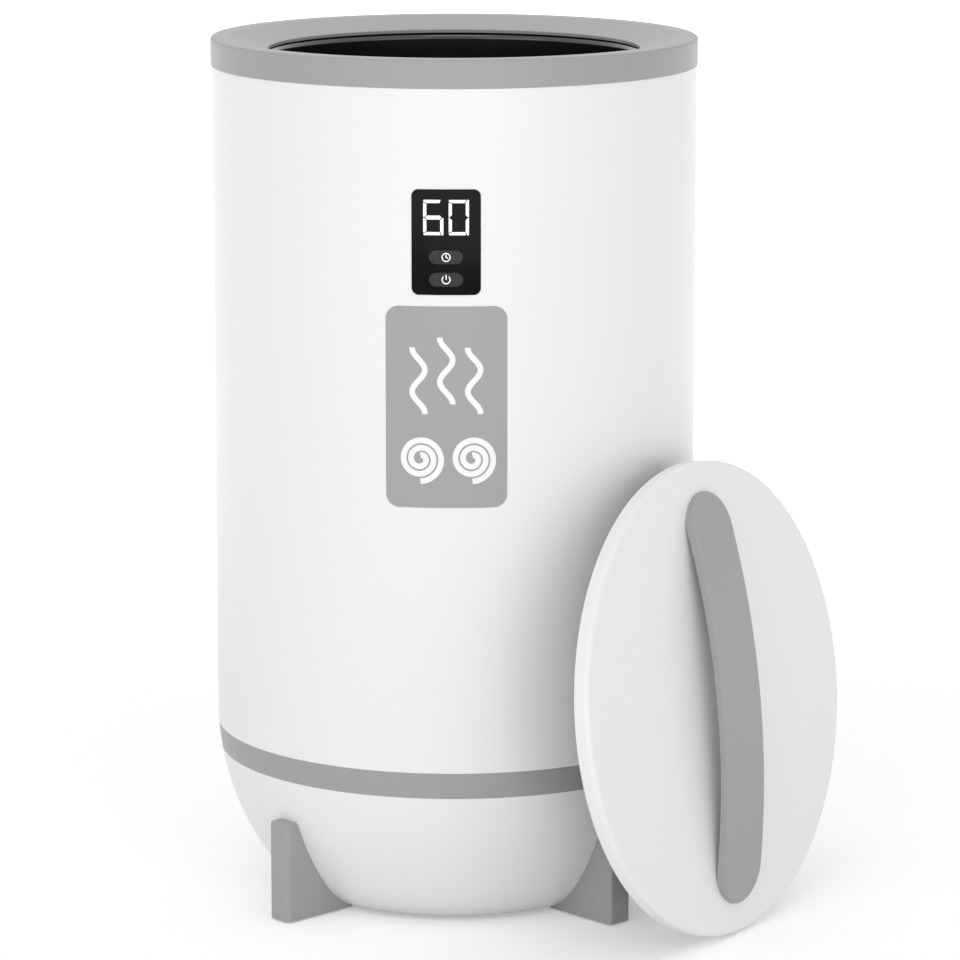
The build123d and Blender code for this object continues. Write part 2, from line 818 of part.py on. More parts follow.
def cord_bush():
    """Rubber bush with a flat slot for a flat cord; its z = 0 is the wall's outer face."""
    bush = rod(cord_bush_radius, 0, 0, -cord_bush_depth, cord_bush_lip)
    bush += rod(cord_bush_radius + cord_bush_flange, 0, 0, -bowl_wall, cord_bush_lip)
    bush = fillet(bush.edges().sort_by(Axis.Z)[-1], cord_bush_lip / 2)
    bush = cord_bush_place() * bush
    collar_side = cord_bush_place() * rod(cord_bush_radius, 0, 0, -cord_bush_depth, 0)
    bush = bush - bowl_form(0, bowl_clear, band_bottom) + collar_side
    slot = Plane.XY.offset(-cord_bush_depth) * SlotOverall(cord_slot_width, cord_slot_height)
    slot = extrude(slot, amount=far)
    return bush - cord_bush_place() * slot


# ---------------------------------------------------------------- display
def segment(corners):
    """One lit bar of a digit, drawn in from its neighbours by half the gap."""
    return offset(make_face(Polyline(*corners, close=True)), -digit_gap / 2, kind=Kind.INTERSECTION)


def digit(lit):
    """Seven bar digit; lit names its bars: t, m, b, and l or r with u for upper, d for lower."""
    w, h, s = digit_width / 2, digit_height / 2, digit_stroke
    slope, nick, tip, half = digit_slope * s, digit_nick * s, digit_tip * s, digit_half * s
    bars = {
        "t": [(-w, h - slope), (-w + s, h - s), (w - s, h - s), (w - slope, h), (-w + nick, h)],
        "m": [(-w + tip, 0), (-w + s, half), (w - s, half), (w - tip, 0), (w - s, -half), (-w + s, -half)],
        "lu": [(-w, h - slope), (-w, 0), (-w + tip, 0), (-w + s, half), (-w + s, h - s)],
        "ru": [(w - slope, h), (w - nick, h), (w, h - nick), (w, 0), (w - tip, 0), (w - s, half),
               (w - s, h - s)],
    }
    for upper, lower in (("t", "b"), ("lu", "ld"), ("ru", "rd")):
        bars[lower] = [(x, -z) for x, z in bars[upper]]
    return [segment(bars[name]) for name in lit]


def lit_bars():
    six = [Pos(-digit_pitch / 2, 0) * bar for bar in digit(["t", "lu", "m", "ld", "b", "rd"])]
    zero = [Pos(digit_pitch / 2, 0) * bar for bar in digit(["t", "lu", "ld", "b", "rd", "ru"])]
    return six + zero


def lit_segments():
    return [front_skin(bar, digits_height, body_inner, lens_outer) for bar in lit_bars()]


def button_outline(grow=0.0):
    return SlotOverall(button_width + 2 * grow, button_height + 2 * grow)


def display_lens():
    outline = RectangleRounded(panel_width, panel_height, panel_corner)
    lens = front_skin(outline, panel_centre, body_inner, lens_outer)
    window_back = body_inner / 2
    window_front = lens_outer + release
    for centre in (timer_height, power_height):
        lens -= front_block(button_outline(window_gap), centre, window_back, window_front)
    return without(lens, [front_block(bar, digits_height, window_back, window_front) for bar in lit_bars()])


def timer_mark():
    """Clock face with two hands."""
    ring = Circle(symbol_radius) - Circle(symbol_radius - symbol_stroke)
    hand = clock_hand * symbol_radius
    upright = Pos(0, hand / 2) * Rectangle(symbol_stroke, hand)
    across = Pos((hand - symbol_stroke) / 2, 0) * Rectangle(hand, symbol_stroke)
    return [ring, upright + Rot(0, 0, -clock_hand_turn) * across]


def power_mark():
    """Open ring with a bar in its opening."""
    bar_length = power_bar * symbol_radius
    opening = Pos(0, symbol_radius) * Rectangle(bar_length, bar_length)
    ring = Circle(symbol_radius) - Circle(symbol_radius - symbol_stroke) - opening
    return [ring, Pos(0, bar_length / 2) * Rectangle(symbol_stroke, bar_length)]


def button(centre, mark):
    """Button cap with a flange behind the panel and a stem towards its switch."""
    wall = tube(body_inner / 2, button_face, centre - button_height, centre + button_height)
    flange_front = sqrt(body_inner**2 - (button_width / 2 + button_lip) ** 2) - loose_gap
    back = flange_front - button_flange
    cap = front_block(button_outline(), centre, back, button_face + release) & wall
    cap = fillet(cap.faces().sort_by(Axis.Y)[0].edges(), button_edge_round)
    cap += front_block(button_outline(button_lip), centre, back, flange_front)
    stem_end = board_front + switch_height + switch_stem + button_travel + stem_gap
    cap += front_block(Circle(stem_radius), centre, stem_end, back + button_flange / 2)
    return without(cap, symbol(centre, mark))


def symbol(centre, mark):
    return [front_skin(piece, centre, button_face - symbol_depth, button_face) for piece in mark]


def ring_outline():
    """Outline of the frame and gasket that go round the window, inside the body."""
    outside = RectangleRounded(panel_width + 2 * frame_wall, panel_height + 2 * frame_wall, panel_corner)
    return outside - RectangleRounded(panel_width - frame_lap, panel_height - frame_lap, panel_corner)


def display_gasket():
    return front_skin(ring_outline(), panel_centre, frame_front, body_inner - skin_gap)


def display_frame():
    wall = tube(board_front / 2, frame_front, panel_centre - panel_height, panel_centre + panel_height)
    frame = front_block(ring_outline(), panel_centre, board_front, body_radius) & wall
    hole = Circle(tiny_screw_radius + screw_gap)
    hole_end = board_back + tiny_screw_length + pilot_spare
    for x, z in frame_screw_places():
        frame -= front_block(Pos(x, z) * hole, panel_centre, board_back, hole_end)
    return frame


def frame_screw_places():
    x = panel_width / 2 + frame_wall / 2
    z = panel_height / 2 + frame_wall / 2
    return [(sx * x, sz * z) for sx in (-1, 1) for sz in (-1, 1)]


def control_board():
    outline = RectangleRounded(panel_width + 2 * frame_wall, panel_height + 2 * frame_wall, board_corner)
    for x, z in frame_screw_places():
        outline -= Pos(x, z) * Circle(tiny_screw_radius + seat_gap)
    return front_block(outline, panel_centre, board_back, board_front)


def control_board_screws():
    lying = Rot(-90, 0, 0) * screw(tiny_head_radius, tiny_head_height, tiny_screw_radius, tiny_screw_length)
    return [Pos(x, -board_back, panel_centre + z) * lying for x, z in frame_screw_places()]


def digit_block():
    """Lamp block behind the digits, flat in front, just behind the curved panel."""
    width = digit_pitch + digit_width + 2 * block_margin
    front = sqrt(body_inner**2 - (width / 2) ** 2) - loose_gap
    outline = RectangleRounded(width, digit_height + 2 * block_rise, component_round)
    return front_block(outline, digits_height, board_front, front)


def tact_switches():
    switches = []
    for centre in (timer_height, power_height):
        case_front = board_front + switch_height
        case = front_block(Rectangle(switch_size, switch_size), centre, board_front, case_front)
        stem = front_block(Circle(switch_stem_radius), centre, board_front, case_front + switch_stem)
        switches.append(case + stem)
    return switches


def cable_socket():
    """Socket on the back of the control board that the lead comes up into."""
    back = cable_track - 2 * cable_radius
    outline = Rectangle(cable_socket_width, cable_socket_height)
    centre_height = cable_top + cable_socket_height / 2
    return front_block(Pos(cable_turn_out, 0) * outline, centre_height, back, board_back)


def front_label():
    outline = RectangleRounded(label_width, label_height, label_corner)
    return front_skin(outline, label_centre, body_radius + skin_gap, body_radius + label_thickness)


# ---------------------------------------------------------------- lid
def lid_plane():
    """Lid's own plane: origin at the middle of its back, x to its side, y up its face, z out of its face.

    Its back edge stands just above the floor, and the upper edge of its plug just off the body.
    """
    tilt, turn = radians(lid_tilt), radians(lid_turn)
    facing = Vector(sin(turn), -cos(turn), 0)
    sideways = Vector(cos(turn), sin(turn), 0)
    up_along = sqrt(lid_plug_radius**2 - lid_side_shift**2)
    reach = body_radius + loose_gap + up_along * sin(tilt) + lid_plug * cos(tilt)
    lift = lid_radius * cos(tilt) + loose_gap
    origin = facing * reach + sideways * lid_side_shift + Vector(0, 0, lift)
    return Plane(origin=origin, x_dir=sideways, z_dir=facing * cos(tilt) + Vector(0, 0, sin(tilt)))


def lid_screw_spots():
    step = 360 / lid_screw_count
    return [
        (lid_screw_circle * cos(radians(step * index)), lid_screw_circle * sin(radians(step * index)))
        for index in range(lid_screw_count)
    ]


def handle_screw_spots():
    """Four screws into the handle's two ends, in the lid's plane."""
    along = handle_length / 2 - handle_screw_inset
    turn = radians(handle_turn)
    spots = []
    for end in (-1, 1):
        for side in (-1, 1):
            u, v = end * along, side * handle_screw_spacing / 2
            spots.append((v * cos(turn) + u * sin(turn), -v * sin(turn) + u * cos(turn)))
    return spots


def lid_cover():
    """White shell of the lid, open at its back."""
    inner = lid_radius - lid_plate_inset
    roof = lid_thickness - lid_wall
    shell = lathe(
        (0, lid_thickness),
        (lid_radius, lid_thickness, lid_face_round),
        (lid_radius, 0, lid_back_round),
        (inner, 0),
        (inner, roof, lid_back_round),
        (0, roof),
    )
    for x, y in lid_screw_spots():
        shell += rod(lid_boss_radius, x, y, lid_plate, roof + lid_wall / 2)
    pilot_end = lid_screw_length + pilot_spare
    shell = without(shell, [pilot(x, y, 0, pilot_end) for x, y in lid_screw_spots()])
    holes = [rod(clear_hole_radius, x, y, 0, lid_thickness + release) for x, y in handle_screw_spots()]
    return without(shell, holes)


def lid_underside():
    """Plate that closes the lid's back, with a hollow plug that goes down into the mouth."""
    outer = lid_radius - lid_plate_inset - seat_gap
    inner = lid_plug_radius - lid_plug_wall
    plate = lathe(
        (0, -lid_plug),
        (lid_plug_radius, -lid_plug, lid_plug_round),
        (lid_plug_radius, 0),
        (outer, 0),
        (outer, lid_plate),
        (inner, lid_plate),
        (inner, lid_plug_wall - lid_plug),
        (0, lid_plug_wall - lid_plug),
    )
    return without(plate, [rod(clear_hole_radius, x, y, -far, far) for x, y in lid_screw_spots()])


def lid_insulation():
    """Foam between the cover and the underside and in its plug, with room for screws and bosses."""
    roof = lid_thickness - lid_wall
    foam = rod(lid_radius - lid_plate_inset - lid_back_round, 0, 0, lid_plate, roof)
    foam += rod(lid_plug_radius - lid_plug_wall - seat_gap, 0, 0, lid_plug_wall - lid_plug, roof)
    bosses = [rod(lid_boss_radius + loose_gap, x, y, 0, lid_thickness) for x, y in lid_screw_spots()]
    heads = roof - screw_head_height - well_gap
    wells = [rod(screw_head_radius + well_gap, x, y, heads, lid_thickness) for x, y in handle_screw_spots()]
    return without(foam, bosses + wells)


def lid_screws():
    pan = Rot(180, 0, 0) * pan_screw(lid_screw_length, low_head_height)
    return [Pos(x, y, 0) * pan for x, y in lid_screw_spots()]


def handle_screws():
    pan = Rot(180, 0, 0) * pan_screw(handle_screw_length)
    return [Pos(x, y, lid_thickness - lid_wall) * pan for x, y in handle_screw_spots()]


def lid_handle():
    """Arched strap with round ends; each end lies on the lid."""
    half = handle_length / 2
    reach = half - handle_foot
    under = handle_rise - handle_thickness
    top = ThreePointArc((-half, handle_end_rise), (0, handle_rise), (half, handle_end_rise))
    bottom = ThreePointArc((-reach, 0), (0, under), (reach, 0))
    side = [
        top,
        Line((half, handle_end_rise), (half, 0)),
        Line((half, 0), (reach, 0)),
        bottom,
        Line((-reach, 0), (-half, 0)),
        Line((-half, 0), (-half, handle_end_rise)),
    ]
    strap = extrude(Plane.YZ * make_face(side), amount=handle_width, both=True)
    strap = strap & extrude(SlotOverall(handle_length, handle_width, 90), amount=far)
    crown = strap.faces().sort_by(Axis.Z)[-1]
    strap = fillet(crown.edges(), handle_edge)
    strap = Pos(0, 0, lid_thickness) * Rot(0, 0, -handle_turn) * strap
    hole_end = lid_thickness - lid_wall + handle_screw_length + pilot_spare
    return without(strap, [pilot(x, y, lid_thickness - release, hole_end) for x, y in handle_screw_spots()])


def lid_nodes():
    pieces = {
        "lid_cover": lid_cover(),
        "lid_underside": lid_underside(),
        "lid_insulation": lid_insulation(),
        "lid_screws": lid_screws(),
        "lid_handle": lid_handle(),
        "handle_screws": handle_screws(),
    }
    place = lid_plane().location
    return {
        name: [place * item for item in shape] if isinstance(shape, list) else place * shape
        for name, shape in pieces.items()
    }


# ---------------------------------------------------------------- everything
def nodes():
    made = {
        "rim_ring": rim_ring(),
        "pot_collar": pot_collar(),
        "collar_screws": collar_screws(),
        "liner_pot": liner_pot(),
        "heater_belt": heater_belt(),
        "insulation_wrap": insulation_wrap(),
        "heating_plate": heating_plate(),
        "plate_nuts": plate_nuts(),
        "thermostat": thermostat(),
        "thermal_fuse": thermal_fuse(),
        "body_shell": body_shell(),
        "trim_band": trim_band(),
        "base_bowl": base_bowl(),
        "base_cover": base_cover(),
        "cover_screws": cover_screws(),
        "foot_pads": foot_pads(),
        "foot_screws": foot_screws(),
        "heat_shield": heat_shield(),
        "shield_screws": shield_screws(),
        "power_board": power_board(),
        "power_board_screws": power_board_screws(),
        "relay": relay(),
        "transformer": transformer(),
        "terminal_block": terminal_block(),
        "capacitor": capacitor(),
        "lead_socket": lead_socket(),
        "display_cable": display_cable(),
        "heater_leads": heater_leads(),
        "belt_lead": belt_lead(),
        "cord_bush": cord_bush(),
        "display_lens": display_lens(),
        "lit_segments": lit_segments(),
        "timer_button": button(timer_height, timer_mark()),
        "timer_symbol": symbol(timer_height, timer_mark()),
        "power_button": button(power_height, power_mark()),
        "power_symbol": symbol(power_height, power_mark()),
        "display_gasket": display_gasket(),
        "display_frame": display_frame(),
        "control_board": control_board(),
        "control_board_screws": control_board_screws(),
        "digit_block": digit_block(),
        "tact_switches": tact_switches(),
        "cable_socket": cable_socket(),
        "front_label": front_label(),
    }
    names = ("foot_front_right", "foot_back_right", "foot_back_left", "foot_front_left")
    for name, shape in zip(names, ring_of(foot(), foot_count, foot_first_turn)):
        made[name] = shape
    made.update(lid_nodes())
    return made


os.makedirs("parts", exist_ok=True)
for node_name, node_shape in nodes().items():
    export(node_name, node_shape)
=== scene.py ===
# %% [markdown]
# # A towel warmer bucket
# The real object is a round bucket with a heated pot inside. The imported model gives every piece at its
# real size. This file dresses it: a finish for each piece that is already right, finer meshes for the
# pot, the screws and the pads, and a printed picture on the front.

# %% Load the frame
import json
import math

import bmesh
import bpy
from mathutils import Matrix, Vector


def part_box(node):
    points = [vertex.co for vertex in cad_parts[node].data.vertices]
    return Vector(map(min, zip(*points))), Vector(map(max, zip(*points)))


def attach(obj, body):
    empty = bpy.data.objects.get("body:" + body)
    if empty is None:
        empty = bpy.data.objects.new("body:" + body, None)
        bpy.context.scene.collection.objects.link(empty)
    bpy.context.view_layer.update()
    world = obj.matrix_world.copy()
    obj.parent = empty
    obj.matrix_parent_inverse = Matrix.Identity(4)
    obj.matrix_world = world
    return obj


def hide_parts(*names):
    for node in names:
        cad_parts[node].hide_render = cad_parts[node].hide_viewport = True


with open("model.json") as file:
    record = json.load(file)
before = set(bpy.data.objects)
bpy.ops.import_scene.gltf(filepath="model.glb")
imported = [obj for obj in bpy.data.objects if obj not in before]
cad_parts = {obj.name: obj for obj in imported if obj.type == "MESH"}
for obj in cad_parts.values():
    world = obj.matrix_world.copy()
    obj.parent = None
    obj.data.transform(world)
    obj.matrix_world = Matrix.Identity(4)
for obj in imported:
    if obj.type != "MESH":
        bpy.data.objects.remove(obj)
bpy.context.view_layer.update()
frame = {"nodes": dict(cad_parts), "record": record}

nodes = frame["nodes"]

# %% [markdown]
# The main sizes are read from the frame, so a piece made here lands on the piece it stands for. What
# the frame can't tell, such as a rounding, a wall or a screw's head, is written down beside its piece.

# %% Sizes that everything is worked out from
mm = 0.001
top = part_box("rim_ring")[1].z
pot_low, pot_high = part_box("liner_pot")
label_low, label_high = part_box("front_label")
label_centre = (label_low.z + label_high.z) / 2
print("the bucket is", round(top, 4), "m high, and its pot", round(2 * pot_high.x, 4), "m across")

# %% [markdown]
# ## The camera and the room
# The camera comes first, because every later choice is judged through it. A long lens from far away keeps
# the bucket's sides nearly parallel, as they are in the photograph.

# %% Camera
camera_place = Vector((0.0905, -2.76303, 0.79956))
camera_aim = Vector((-0.02649, 0.98092, -0.19256))
camera_data = bpy.data.cameras.new("camera")
camera_data.sensor_width = 36.0
camera_data.lens = 168.42
camera_data.clip_end = 60.0
camera = bpy.data.objects.new("camera", camera_data)
bpy.context.scene.collection.objects.link(camera)
camera.location = camera_place
camera.rotation_mode = "QUATERNION"
camera.rotation_quaternion = camera_aim.to_track_quat("-Z", "Y")
bpy.context.scene.camera = camera
print("camera", round(camera_place.length, 2), "m from the bucket's foot")

# %% [markdown]
# Node trees get long, so a few small helpers wire up what every tree needs: a math node, a vector from
# single numbers, and the test for rays that see the background. That test takes in three kinds of ray:
# straight from the camera, through something clear, and by way of a glossy surface.


# %% Helpers for nodes
def feed(link, entry, value):
    """Give an input a plain number or a link from a socket."""
    if isinstance(value, (int, float)):
        entry.default_value = value
    else:
        link(value, entry)


def math_node(n, link, operation, *values):
    """Math node fed by sockets or plain numbers."""
    made = n.new("ShaderNodeMath")
    made.operation = operation
    for entry, value in zip(made.inputs, values):
        feed(link, entry, value)
    return made.outputs[0]


def vector_node(n, link, x=0.0, y=0.0, z=0.0):
    """Vector from three sockets or plain numbers."""
    made = n.new("ShaderNodeCombineXYZ")
    for entry, value in zip(made.inputs, (x, y, z)):
        feed(link, entry, value)
    return made.outputs["Vector"]


def rays_that_see(n, link):
    """1 for a ray that should see the white room, 0 for one that only lights."""
    path = n.new("ShaderNodeLightPath").outputs
    through = math_node(n, link, "MAXIMUM", path["Is Camera Ray"], path["Is Transmission Ray"])
    return math_node(n, link, "MAXIMUM", through, path["Is Glossy Ray"])


print("four helpers for nodes")

# %% [markdown]
# Soft light suits smooth white plastic. Most of it comes from the room itself, with a large lamp at the
# front left, a weaker one at the right, one behind, and a low one that lights the bowl's underside as a
# white table would. A narrow strip lamp adds little light, but draws a line on the pot's glossy edge.
# The room looks white to the camera and lights the bucket less than that, so a white background adds no
# light to the object.

# %% World
room_strength = 0.7
world = bpy.data.worlds.new("room")
bpy.context.scene.world = world
world.use_nodes = True
n, link = world.node_tree.nodes, world.node_tree.links.new
n.clear()
room_light = n.new("ShaderNodeBackground")
room_light.inputs["Strength"].default_value = room_strength
room_seen = n.new("ShaderNodeBackground")
room_seen.inputs["Strength"].default_value = 1.0
for background in (room_light, room_seen):
    background.inputs["Color"].default_value = (1, 1, 1, 1)
choose = n.new("ShaderNodeMixShader")
world_out = n.new("ShaderNodeOutputWorld")
link(rays_that_see(n, link), choose.inputs["Fac"])
link(room_light.outputs[0], choose.inputs[1])
link(room_seen.outputs[0], choose.inputs[2])
link(choose.outputs[0], world_out.inputs["Surface"])
print("room light", room_strength)


# %% Lamps
def lamp(name, place, aim, size, watts):
    """Rectangular area lamp that points at a place."""
    data = bpy.data.lights.new(name, "AREA")
    data.shape = "RECTANGLE"
    data.size, data.size_y = size
    data.energy = watts
    obj = bpy.data.objects.new(name, data)
    bpy.context.scene.collection.objects.link(obj)
    obj.location = place
    obj.rotation_mode = "QUATERNION"
    obj.rotation_quaternion = (Vector(aim) - Vector(place)).to_track_quat("-Z", "Y")


lamps = [
    ("key_lamp", (-1.8, -2.4, 1.0), (0, 0, top / 2), (2.4, 2.4), 10),
    ("fill_lamp", (1.8, -2.4, 0.9), (0, 0, top / 2), (2.0, 2.0), 4),
    ("low_lamp", (0.2, -2.6, 0.3), (0, 0, 0.1), (2.4, 0.5), 10),
    ("top_lamp", (-0.2, 1.3, 2.3), (0, 0, top / 2), (2.6, 2.0), 5),
    ("strip_lamp", (0.0, -1.0, 2.2), (0, 0, top), (1.2, 0.12), 3),
]
for settings in lamps:
    lamp(*settings)
print(len(lamps), "lamps,", sum(settings[-1] for settings in lamps), "W in all")

# %% [markdown]
# The floor is matte and nearly white. Near the bucket it shows its real light, so the bucket's shadow
# darkens it. Further out it glows for the eye alone, which takes it up to the white of the background
# without sending any light to the bucket. The glow grows with the distance from the middle of the floor.

# %% Floor
floor_reach = 14.0
shadow_radius = 0.55
white_radius = 3 * shadow_radius
glow_near, glow_far = 0.3, 1.0
floor_colour = (0.86, 0.86, 0.86, 1)
floor_mesh = bpy.data.meshes.new("floor")
corners = [(x * floor_reach, y * floor_reach, 0) for x, y in ((-1, -1), (1, -1), (1, 1), (-1, 1))]
floor_mesh.from_pydata(corners, [], [(0, 1, 2, 3)])
floor = bpy.data.objects.new("floor", floor_mesh)
bpy.context.scene.collection.objects.link(floor)
floor_paint = bpy.data.materials.new("floor_paint")
floor_paint.use_nodes = True
n, link = floor_paint.node_tree.nodes, floor_paint.node_tree.links.new
n.clear()
where = n.new("ShaderNodeTexCoord")
distance = n.new("ShaderNodeVectorMath")
distance.operation = "LENGTH"
spread = n.new("ShaderNodeMapRange")
spread.interpolation_type = "SMOOTHSTEP"
for name, value in (("From Min", shadow_radius), ("From Max", white_radius),
                    ("To Min", glow_near), ("To Max", glow_far)):
    spread.inputs[name].default_value = value
matte = n.new("ShaderNodeBsdfDiffuse")
matte.inputs["Color"].default_value = floor_colour
glow = n.new("ShaderNodeEmission")
unlit = n.new("ShaderNodeEmission")
unlit.inputs["Strength"].default_value = 0.0
pick = n.new("ShaderNodeMixShader")
both = n.new("ShaderNodeAddShader")
out = n.new("ShaderNodeOutputMaterial")
link(where.outputs["Object"], distance.inputs[0])
link(distance.outputs["Value"], spread.inputs["Value"])
link(spread.outputs["Result"], glow.inputs["Strength"])
link(rays_that_see(n, link), pick.inputs["Fac"])
link(unlit.outputs[0], pick.inputs[1])
link(glow.outputs[0], pick.inputs[2])
link(matte.outputs[0], both.inputs[0])
link(pick.outputs[0], both.inputs[1])
link(both.outputs[0], out.inputs["Surface"])
floor_mesh.materials.append(floor_paint)
print("floor", 2 * floor_reach, "m wide, full white from", round(white_radius, 2), "m out")

# %% [markdown]
# ## Finishes
# Colours are written as they would be picked on a screen and turned into light here. No surface is quite
# even: it has a slightly cloudy colour, an uneven gloss and a fine relief. Three groups make these three
# effects in three ways, and share their inputs and outputs, so that one helper can build a finish from
# whichever group suits it.


# %% Helpers for the surface groups
def light_value(value):
    """Screen value, 0 to 1, as linear light."""
    return value / 12.92 if value <= 0.04045 else ((value + 0.055) / 1.055) ** 2.4


def paint(red, green, blue):
    return (light_value(red / 255), light_value(green / 255), light_value(blue / 255), 1)


def socket(group, name, kind, way, value=None):
    """New socket on a group, with its usual value."""
    made = group.interface.new_socket(name=name, in_out=way, socket_type=kind)
    if value is not None:
        made.default_value = value
    return made


def noise(n, link, place, scale, detail):
    made = n.new("ShaderNodeTexNoise")
    made.inputs["Detail"].default_value = detail
    link(place, made.inputs["Vector"])
    link(scale, made.inputs["Scale"])
    return made.outputs["Fac"]


def surface_group(name, wire):
    """Group that all finishes can use. wire gives a mask for stains, which on felt and rubber is painted
    shade in the gaps, one for gloss and a height.
    """
    group = bpy.data.node_groups.new(name, "ShaderNodeTree")
    socket(group, "Colour", "NodeSocketColor", "INPUT", (0.8, 0.8, 0.8, 1))
    for entry, usual in (("Cloud size", 14.0), ("Cloud depth", 0.05), ("Grain size", 1000.0),
                         ("Roughness", 0.5), ("Roughness spread", 0.1)):
        socket(group, entry, "NodeSocketFloat", "INPUT", usual)
    socket(group, "Colour", "NodeSocketColor", "OUTPUT")
    socket(group, "Roughness", "NodeSocketFloat", "OUTPUT")
    socket(group, "Height", "NodeSocketFloat", "OUTPUT")
    n, link = group.nodes, group.links.new
    given, result = n.new("NodeGroupInput"), n.new("NodeGroupOutput")
    where = n.new("ShaderNodeTexCoord")
    stain_and_gap_shade, shine, height = wire(n, link, given.outputs, where.outputs["Object"])
    amount = math_node(n, link, "MULTIPLY_ADD", stain_and_gap_shade, given.outputs["Cloud depth"], 1.0)
    tint = n.new("ShaderNodeVectorMath")
    tint.operation = "SCALE"
    link(given.outputs["Colour"], tint.inputs[0])
    link(amount, tint.inputs["Scale"])
    gloss = math_node(n, link, "MULTIPLY_ADD", shine, given.outputs["Roughness spread"],
                      given.outputs["Roughness"])
    link(tint.outputs["Vector"], result.inputs["Colour"])
    link(gloss, result.inputs["Roughness"])
    link(height, result.inputs["Height"])
    print("group", group.name, "with", len(group.nodes), "nodes")
    return group


# %% [markdown]
# Moulded plastic comes from a steel mould with a fine, even grain. Wide soft clouds change its colour and
# gloss together, and a much finer noise gives the relief.


# %% Group for moulded plastic
def wire_moulded(n, link, given, place):
    clouds = noise(n, link, place, given["Cloud size"], 3.0)
    centred = math_node(n, link, "SUBTRACT", clouds, 0.5)
    return centred, centred, noise(n, link, place, given["Grain size"], 2.0)


moulded = surface_group("moulded_grain", wire_moulded)

# %% [markdown]
# Sheet metal and plated screws are worked in one direction, which leaves fine lines. Noise that is
# stretched along one axis gives such lines to the gloss and the relief, while stains stay round.


# %% Group for metal with fine lines
def wire_drawn(n, link, given, place):
    stretch = n.new("ShaderNodeMapping")
    stretch.inputs["Scale"].default_value = (0.02, 1.0, 1.0)
    link(place, stretch.inputs["Vector"])
    lines = noise(n, link, stretch.outputs["Vector"], given["Grain size"], 4.0)
    stains = noise(n, link, place, given["Cloud size"], 2.0)
    return math_node(n, link, "SUBTRACT", stains, 0.5), lines, lines


drawn = surface_group("drawn_lines", wire_drawn)

# %% [markdown]
# Felt, woven sleeves, silicone and rubber have a coarse, soft unevenness. Cells and tufts are added up into
# the relief, and the colour follows it, darker where the relief is low: painted shade in the gaps between
# them.


# %% Group for felt and rubber
def wire_tangled(n, link, given, place):
    cells = n.new("ShaderNodeTexVoronoi")
    link(place, cells.inputs["Vector"])
    link(given["Grain size"], cells.inputs["Scale"])
    tufts = noise(n, link, place, given["Cloud size"], 5.0)
    relief_and_gap_shade = math_node(n, link, "ADD", cells.outputs["Distance"], tufts)
    # the colour follows the relief and is darker where it is low: painted shade in the gaps
    centred = math_node(n, link, "SUBTRACT", relief_and_gap_shade, 1.0)
    return centred, centred, relief_and_gap_shade


tangle = surface_group("soft_tangle", wire_tangled)


# %% Helper that makes one finish
def finish_of(name, colour, roughness, spread=0.06, cloud=14.0, depth=0.03, grain_size=1800.0, relief=0.02,
              metallic=0.0, coat=0.0, glow=0.0, specular=0.5, surface=moulded):
    """Material from one of the surface groups and one Principled shader."""
    material = bpy.data.materials.new(name)
    material.use_nodes = True
    n, link = material.node_tree.nodes, material.node_tree.links.new
    shader = n["Principled BSDF"]
    effect = n.new("ShaderNodeGroup")
    effect.node_tree = surface
    for entry, value in (("Colour", paint(*colour)), ("Cloud size", cloud), ("Cloud depth", depth),
                         ("Grain size", grain_size), ("Roughness", roughness), ("Roughness spread", spread)):
        effect.inputs[entry].default_value = value
    bump = n.new("ShaderNodeBump")
    bump.inputs["Strength"].default_value = relief
    bump.inputs["Distance"].default_value = 0.2 * mm
    link(effect.outputs["Colour"], shader.inputs["Base Color"])
    link(effect.outputs["Roughness"], shader.inputs["Roughness"])
    link(effect.outputs["Height"], bump.inputs["Height"])
    link(bump.outputs["Normal"], shader.inputs["Normal"])
    shader.inputs["Metallic"].default_value = metallic
    shader.inputs["Specular IOR Level"].default_value = specular
    shader.inputs["Coat Weight"].default_value = coat
    if glow:
        link(effect.outputs["Colour"], shader.inputs["Emission Color"])
        shader.inputs["Emission Strength"].default_value = glow
    return material


print("the finishes can use", len(bpy.data.node_groups), "groups")

# %% [markdown]
# The white is one shade for body, bowl and lid. The grey pieces are a satin plastic, a little rougher
# than the white. The pot has a hard black coating with a clear shine, the panel is smooth black, and the
# keys are a shade lighter and less smooth. Inside are metals, silicone, felt, boards and leads.

